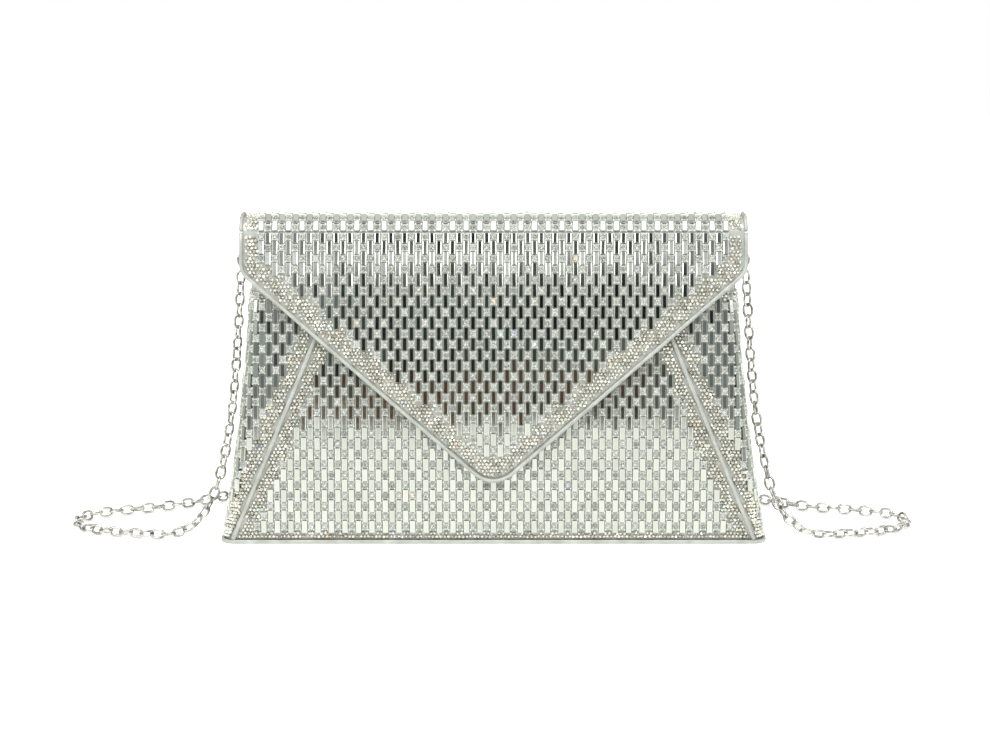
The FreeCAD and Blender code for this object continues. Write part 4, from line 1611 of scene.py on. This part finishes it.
@dataclass
class StrapChain:
    """The strap: one cable chain from ring to ring, loose beside the bag and wound up behind it."""

    metal: bpy.types.Material
    link_length: float = 7.8
    link_width: float = 5.4
    wire: float = 1.28
    pitch: float = 5.3
    coil_turns: int = 2
    coil_points: int = 14
    coil_radius: float = 0.028
    coil_centre_y: float = 0.100
    coil_rise: float = 0.0056
    ground: float = 0.003
    hang_from: float = 0.012
    hang_over: float = 0.02
    hanging_roll: float = math.radians(40)
    lying_roll: float = math.radians(18)
    roll_stray: float = 0.16

    def route(self) -> list[tuple[float, float, float]]:
        """The control points of the whole chain: left stretch, coil, and right stretch backwards."""
        count = self.coil_turns * self.coil_points
        coil = []
        for k in range(1, count):
            angle = -math.pi / 2 + 2 * math.pi * k / self.coil_points
            height = self.ground + self.coil_rise * k / self.coil_points
            coil.append((self.coil_radius * math.cos(angle),
                         self.coil_centre_y + self.coil_radius * math.sin(angle), height))
        return CHAIN_LEFT + coil + CHAIN_RIGHT[::-1]

    def centreline(self) -> np.ndarray:
        """Points of the smooth line through the route, read from its own spline, in metres."""
        curve = bpy.data.curves.new("chain_line", "CURVE")
        curve.dimensions = "3D"
        curve.resolution_u = 16
        spline = curve.splines.new("NURBS")
        points = self.route()
        spline.points.add(len(points) - 1)
        for point, place in zip(spline.points, points):
            point.co = (*place, 1.0)
        spline.order_u = 3
        spline.use_endpoint_u = True
        guide = bpy.data.objects.new("chain_line", curve)
        mesh = bpy.data.meshes.new_from_object(guide)
        line = np.empty(len(mesh.vertices) * 3, np.float32)
        mesh.vertices.foreach_get("co", line)
        bpy.data.objects.remove(guide)
        bpy.data.meshes.remove(mesh)
        return line.reshape(-1, 3).astype(float)

    def link(self) -> tuple[np.ndarray, np.ndarray]:
        """One oval link: a stadium of round wire, along x, flat in the xy plane."""
        arc = (self.link_width - self.wire) / 2
        straight = (self.link_length - self.wire) / 2 - arc
        turn = np.linspace(-math.pi / 2, math.pi / 2, 5)
        right = np.stack([straight + arc * np.cos(turn), arc * np.sin(turn)], axis=-1)
        left = -right
        path = np.concatenate([right, left])
        path = np.column_stack([path, np.zeros(len(path))])
        centre = np.column_stack([np.clip(path[:, 0], -straight, straight), np.zeros((len(path), 2))])
        away = unit(path - centre)
        up = np.tile([0.0, 0.0, 1.0], (len(path), 1))
        points, polygons = sweep(path, up, away, oval(self.wire, self.wire, 6), closed=True)
        return points, polygons[0]

    def build(self) -> bpy.types.Object:
        """The links' flat side is carried along the line without twist; on the ground it settles to
        lie nearly flat and nearly on edge by turns, and on the hanging stretch both kinds stand at
        about 40 degrees to the front.
        """
        line = self.centreline()
        run = distances(line)
        count = int(run[-1] / (self.pitch * MM))
        at = (np.arange(count) + 0.5) * run[-1] / count
        place = sampled(line, run, at)
        tangent = unit(sampled(along(line), run, at))
        hanging = np.clip((place[:, 2] - self.hang_from) / self.hang_over, 0, 1)[:, None]
        flat = np.array([0.0, 0.0, 1.0]) * (1 - hanging) + np.array([0.0, -1.0, 0.0]) * hanging
        normal = unit(flat - tangent * (flat * tangent).sum(axis=1, keepdims=True))
        random = np.random.default_rng(SEED)
        roll = np.arange(count) % 2 * math.pi / 2 + self.hanging_roll * hanging[:, 0]
        roll = roll + random.normal(0, self.roll_stray, count) + self.lying_roll * (1 - hanging[:, 0])
        side = np.cross(normal, tangent)
        n = normal * np.cos(roll)[:, None] + side * np.sin(roll)[:, None]
        axes = (tangent, np.cross(n, tangent), n)
        points, faces, tone = scatter(self.link(), place / MM, axes, random, 0.0)
        piece = make_piece("strap_chain", points, [faces], self.metal, tone=tone)
        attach(piece, "body")
        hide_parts("chain_left", "chain_right", "chain_coil")
        LOG.info("strap chain: %d links on %.3f m", count, run[-1])
        return piece


# ---------------------------------------------------------------- metal and hidden pieces


@dataclass
class FramePieces:
    """The frame's own pieces whose shape is already right: they only get their real finish."""

    finishes: dict[str, bpy.types.Material]
    by_finish: dict[str, tuple[str, ...]] = field(default_factory=lambda: {
        "nickel": ("snap_socket", "snap_stud", "tab_rivet_left", "tab_rivet_right",
                   "strap_ring_left", "strap_ring_right", "end_ring_left", "end_ring_right"),
        "steel": ("snap_magnet", "snap_stud_washer"),
        "leather": ("base_skin", "ring_tab_left", "ring_tab_right"),
        "board": ("base_board", "front_board", "back_board", "flap_board"),
        "foam": ("side_foam_left", "side_foam_right"),
        "satin": ("base_lining",),
    })

    def dress(self) -> None:
        """Put each finish into the material slots of its nodes."""
        for finish, nodes in self.by_finish.items():
            for name in nodes:
                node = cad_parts[name]
                node.data.materials.clear()
                node.data.materials.append(self.finishes[finish])
                LOG.info("%s: %s", name, finish)


# ---------------------------------------------------------------- studio


@dataclass
class Studio:
    """A white table, three soft boxes, a dark room in front, and a long lens at a low angle."""

    elevation: float = math.radians(10.9)
    distance: float = 1.10
    lens: float = 85.0
    aim: tuple[float, float, float] = (0.0007, -0.020, 0.0820)
    lit_point: tuple[float, float, float] = (0.0, 0.0, 0.07)
    table_half: float = 2400.0
    room_strength: float = 1.25

    def camera(self) -> None:
        """Set the camera in front of the bag, a little above it, looking at its middle."""
        data = bpy.data.cameras.new("camera")
        data.lens = self.lens
        data.sensor_width = 36.0
        data.clip_start, data.clip_end = 0.05, 60.0
        camera = bpy.data.objects.new("camera", data)
        back = (0.0, -math.cos(self.elevation), math.sin(self.elevation))
        camera.location = [a + self.distance * b for a, b in zip(self.aim, back)]
        camera.rotation_euler = (math.pi / 2 - self.elevation, 0.0, 0.0)
        bpy.context.scene.collection.objects.link(camera)
        bpy.context.scene.camera = camera

    def floor(self) -> None:
        """A large matt white table. Painted shade makes it greyer far out to the sides, and a painted glow
        makes it paler towards its far edges and, to the lens, far from the bag.
        """
        size = self.table_half
        points = np.array([[-size, -size, 0], [size, -size, 0], [size, size, 0], [-size, size, 0]], float)
        material, tree, shader = new_material("White studio table")
        place = add_node(tree, "ShaderNodeTexCoord").outputs["Object"]
        part = add_node(tree, "ShaderNodeSeparateXYZ", Vector=place)
        # Painted shade: the table's own colour greys far out to the sides towards the front, where the soft
        # boxes' light would fall off.
        wide = fade(tree, reckon(tree, "ABSOLUTE", part.outputs["X"]), 0.7, 1.1)
        near = fade(tree, part.outputs["Y"], 0.5, 0.1)
        colour = ramp(tree, reckon(tree, "MULTIPLY", wide, near), [(0.0, "F8F8F6"), (1.0, "A4AAA2")])
        # Painted light: the table glows more towards the back, and to the lens it also glows pale far from
        # the bag, though it is no lamp.
        far = fade(tree, part.outputs["Y"], -0.6, 0.7, 0.65)
        away = add_node(tree, "ShaderNodeVectorMath", {"operation": "LENGTH"}, in0=place)
        rim = fade(tree, away.outputs["Value"], 0.55, 1.2)
        seen = add_node(tree, "ShaderNodeLightPath").outputs["Is Camera Ray"]
        lit = reckon(tree, "MULTIPLY_ADD", rim, seen, far)
        set_inputs(tree, shader, {"Base Color": colour, "Roughness": 0.6, "Specular IOR Level": 0.2,
                                  "Emission Color": linear("FFFFFF"), "Emission Strength": lit})
        floor = make_piece("table", points, [np.array([[0, 1, 2, 3]])], material)

    def light(self, name: str, place: tuple, size: tuple, power: float) -> None:
        """Add one soft box that looks at the bag.

        Args:
            name: The light's name.
            place: Where it stands, in metres.
            size: Its width and height.
            power: Its power in watts.
        """
        data = bpy.data.lights.new(name, "AREA")
        data.shape = "RECTANGLE"
        data.size, data.size_y = size
        data.energy = power
        lamp = bpy.data.objects.new(name, data)
        lamp.location = place
        away = np.array(place) - np.array(self.lit_point)
        flat = math.hypot(away[0], away[1])
        lamp.rotation_euler = (math.atan2(flat, away[2]), 0.0, math.atan2(away[0], -away[1]))
        bpy.context.scene.collection.objects.link(lamp)

    def dark_things(self, tree: bpy.types.NodeTree, part: bpy.types.Node,
                    patches: bpy.types.NodeSocket) -> bpy.types.NodeSocket:
        """The dark things in front: brown low down, green-black above, hazy aside, with a lit strip.

        Args:
            tree: The room's node tree.
            part: The node that gives a direction's three parts.
            patches: A cloudy value that tells the things apart.

        Returns:
            The colour's socket.
        """
        brown = [(0.35, "14110F"), (0.48, "3A332E"), (0.6, "6B4A3C"), (0.7, "2A211D")]
        green = [(0.35, "0A0D0C"), (0.5, "2C3431"), (0.62, "56605A"), (0.7, "1C2422")]
        misty = [(0.35, "5A6063"), (0.5, "8E959A"), (0.65, "B9C0C4")]
        strip = [(0.25, "000000"), (0.257, "F6F8FC"), (0.274, "F6F8FC"), (0.281, "000000")]
        level = add_node(tree, "ShaderNodeMapRange", Value=part.outputs["Z"])
        set_inputs(tree, level, {"From Min": 0.05, "From Max": 0.08})
        dark = blended(tree, level.outputs[0], ramp(tree, patches, brown), ramp(tree, patches, green))
        aside = fade(tree, reckon(tree, "ABSOLUTE", part.outputs["X"]), 0.07, 0.1, 0.8)
        dusky = blended(tree, aside, dark, ramp(tree, patches, misty))
        return blended(tree, 1.0, dusky, ramp(tree, part.outputs["Z"], strip), "ADD")

    def bright_walls(self, tree: bpy.types.NodeTree, part: bpy.types.Node,
                     patches: bpy.types.NodeSocket) -> bpy.types.NodeSocket:
        """The bright rest of the room, with patchy grey walls behind the bag.

        Args:
            tree: The room's node tree.
            part: The node that gives a direction's three parts.
            patches: A cloudy value that breaks up the walls.

        Returns:
            The colour's socket.
        """
        levels = [(0.0, "AEB3AE"), (0.1, "B2B8B3"), (0.14, "FFFFFF"), (0.36, "F2F3F1"),
                  (0.46, "E6E9E6"), (1.0, "DDE0DD")]
        grey = [(0.38, "959995"), (0.5, "C6CAC6"), (0.6, "A4A8A4"), (0.68, "F2F3F0")]
        bright = ramp(tree, part.outputs["Z"], levels)
        rear = fade(tree, part.outputs["Y"], -0.25, 0.05)
        under = fade(tree, part.outputs["Z"], 0.7, 0.42)
        behind = reckon(tree, "MULTIPLY", rear, under)
        return blended(tree, behind, bright, ramp(tree, patches, grey))

    def room(self) -> None:
        """The room around: bright above, a dark band in front of the bag, white to the lens.

        The band lies in front, from the horizon to about twenty degrees up and lower to the sides,
        which is what the middle of the bag mirrors.
        """
        world = bpy.data.worlds.new("studio room")
        world.use_nodes = True
        tree = world.node_tree
        tree.nodes.clear()
        way = add_node(tree, "ShaderNodeTexCoord").outputs["Generated"]
        part = add_node(tree, "ShaderNodeSeparateXYZ", Vector=way)
        patches = add_node(tree, "ShaderNodeTexNoise", Vector=way, Scale=11.0, Detail=3.0).outputs[0]
        aside = reckon(tree, "ABSOLUTE", part.outputs["X"])
        height = reckon(tree, "MULTIPLY_ADD", aside, 0.25, part.outputs["Z"])
        low = fade(tree, height, 0.41, 0.35)
        front = fade(tree, part.outputs["Y"], -0.55, -0.85)
        things, walls = self.dark_things(tree, part, patches), self.bright_walls(tree, part, patches)
        room = blended(tree, reckon(tree, "MULTIPLY", low, front), walls, things)
        strong = add_node(tree, "ShaderNodeVectorMath", {"operation": "SCALE"}, in0=room,
                          Scale=self.room_strength)
        seen = add_node(tree, "ShaderNodeLightPath").outputs["Is Camera Ray"]
        colour = blended(tree, seen, strong.outputs[0], linear("FFFFFF"))
        back = add_node(tree, "ShaderNodeBackground", Color=colour, Strength=1.0)
        add_node(tree, "ShaderNodeOutputWorld", Surface=back.outputs[0])
        bpy.context.scene.world = world

    def build(self) -> None:
        """Set up the floor, the lights and the room."""
        self.floor()
        self.room()
        self.light("soft box above", (-0.25, -0.9, 1.5), (1.6, 1.0), 20.0)
        self.light("side box left", (-1.5, -0.9, 0.66), (0.5, 0.55), 2.6)
        self.light("side box right", (1.5, -0.9, 0.66), (0.5, 0.55), 2.2)
        bpy.context.scene.view_settings.view_transform = "Standard"


def main() -> None:
    """Build the camera, the chain, the skins, the stones and the studio."""
    logging.basicConfig(level=logging.INFO, format="%(name)s %(message)s")
    studio = Studio()
    studio.camera()
    leather = FauxLeather().material()
    trim = FauxLeather("Pale silver piping leather", "C4C6BF", "A6A8A1", 0.4, 0.5).material()
    satin = Satin().material()
    chain_metal = NickelPlate("Nickel-plated chain", "CFCDC8", "918E87", 0.18).material()
    finishes = {
        "nickel": NickelPlate().material(),
        "steel": NickelPlate("Plain steel", "A6A6A4", "7C7C7A", 0.35).material(),
        "leather": leather,
        "board": Fibrous("Pressed grey board", "9A948A", "6F6A62", 0.8).material(),
        "foam": Fibrous("Soft white foam", "DAD9D4", "B5B4AF", 0.5).material(),
        "satin": satin,
    }
    glass = {
        Stone.BAGUETTE: FoiledGlass("Foil-backed baguette glass", "C3C5BC", "CFD1C8"),
        # On the round stones and the small crystals, True gives a few of them painted coloured glints.
        Stone.ROUND: FoiledGlass("Foil-backed round glass", "A2A49F", "CBCDC8", 0.12, 0.9, True, 0.5, 1.1),
        Stone.CUP: FoiledGlass("Silvered faceted cup", "ACAFA9", "C6C8C2", 0.35, 0.2, False, 0.6, 0.5),
        Stone.CRYSTAL: FoiledGlass("Small foiled crystal", "BDBAAF", "ECEAE1", 0.1, 0.72, True, 0.5, 0.2),
        Stone.PRONG: FoiledGlass("Silvered prongs", "E6E8E3", "FBFBF8", 0.35, 0.3),
    }
    StrapChain(chain_metal).build()
    BagSkins(leather, trim, satin, Thread().material()).build()
    StoneCovering().build({kind: finish.material() for kind, finish in glass.items()})
    FramePieces(finishes).dress()
    studio.build()


if __name__ == "__main__":
    main()
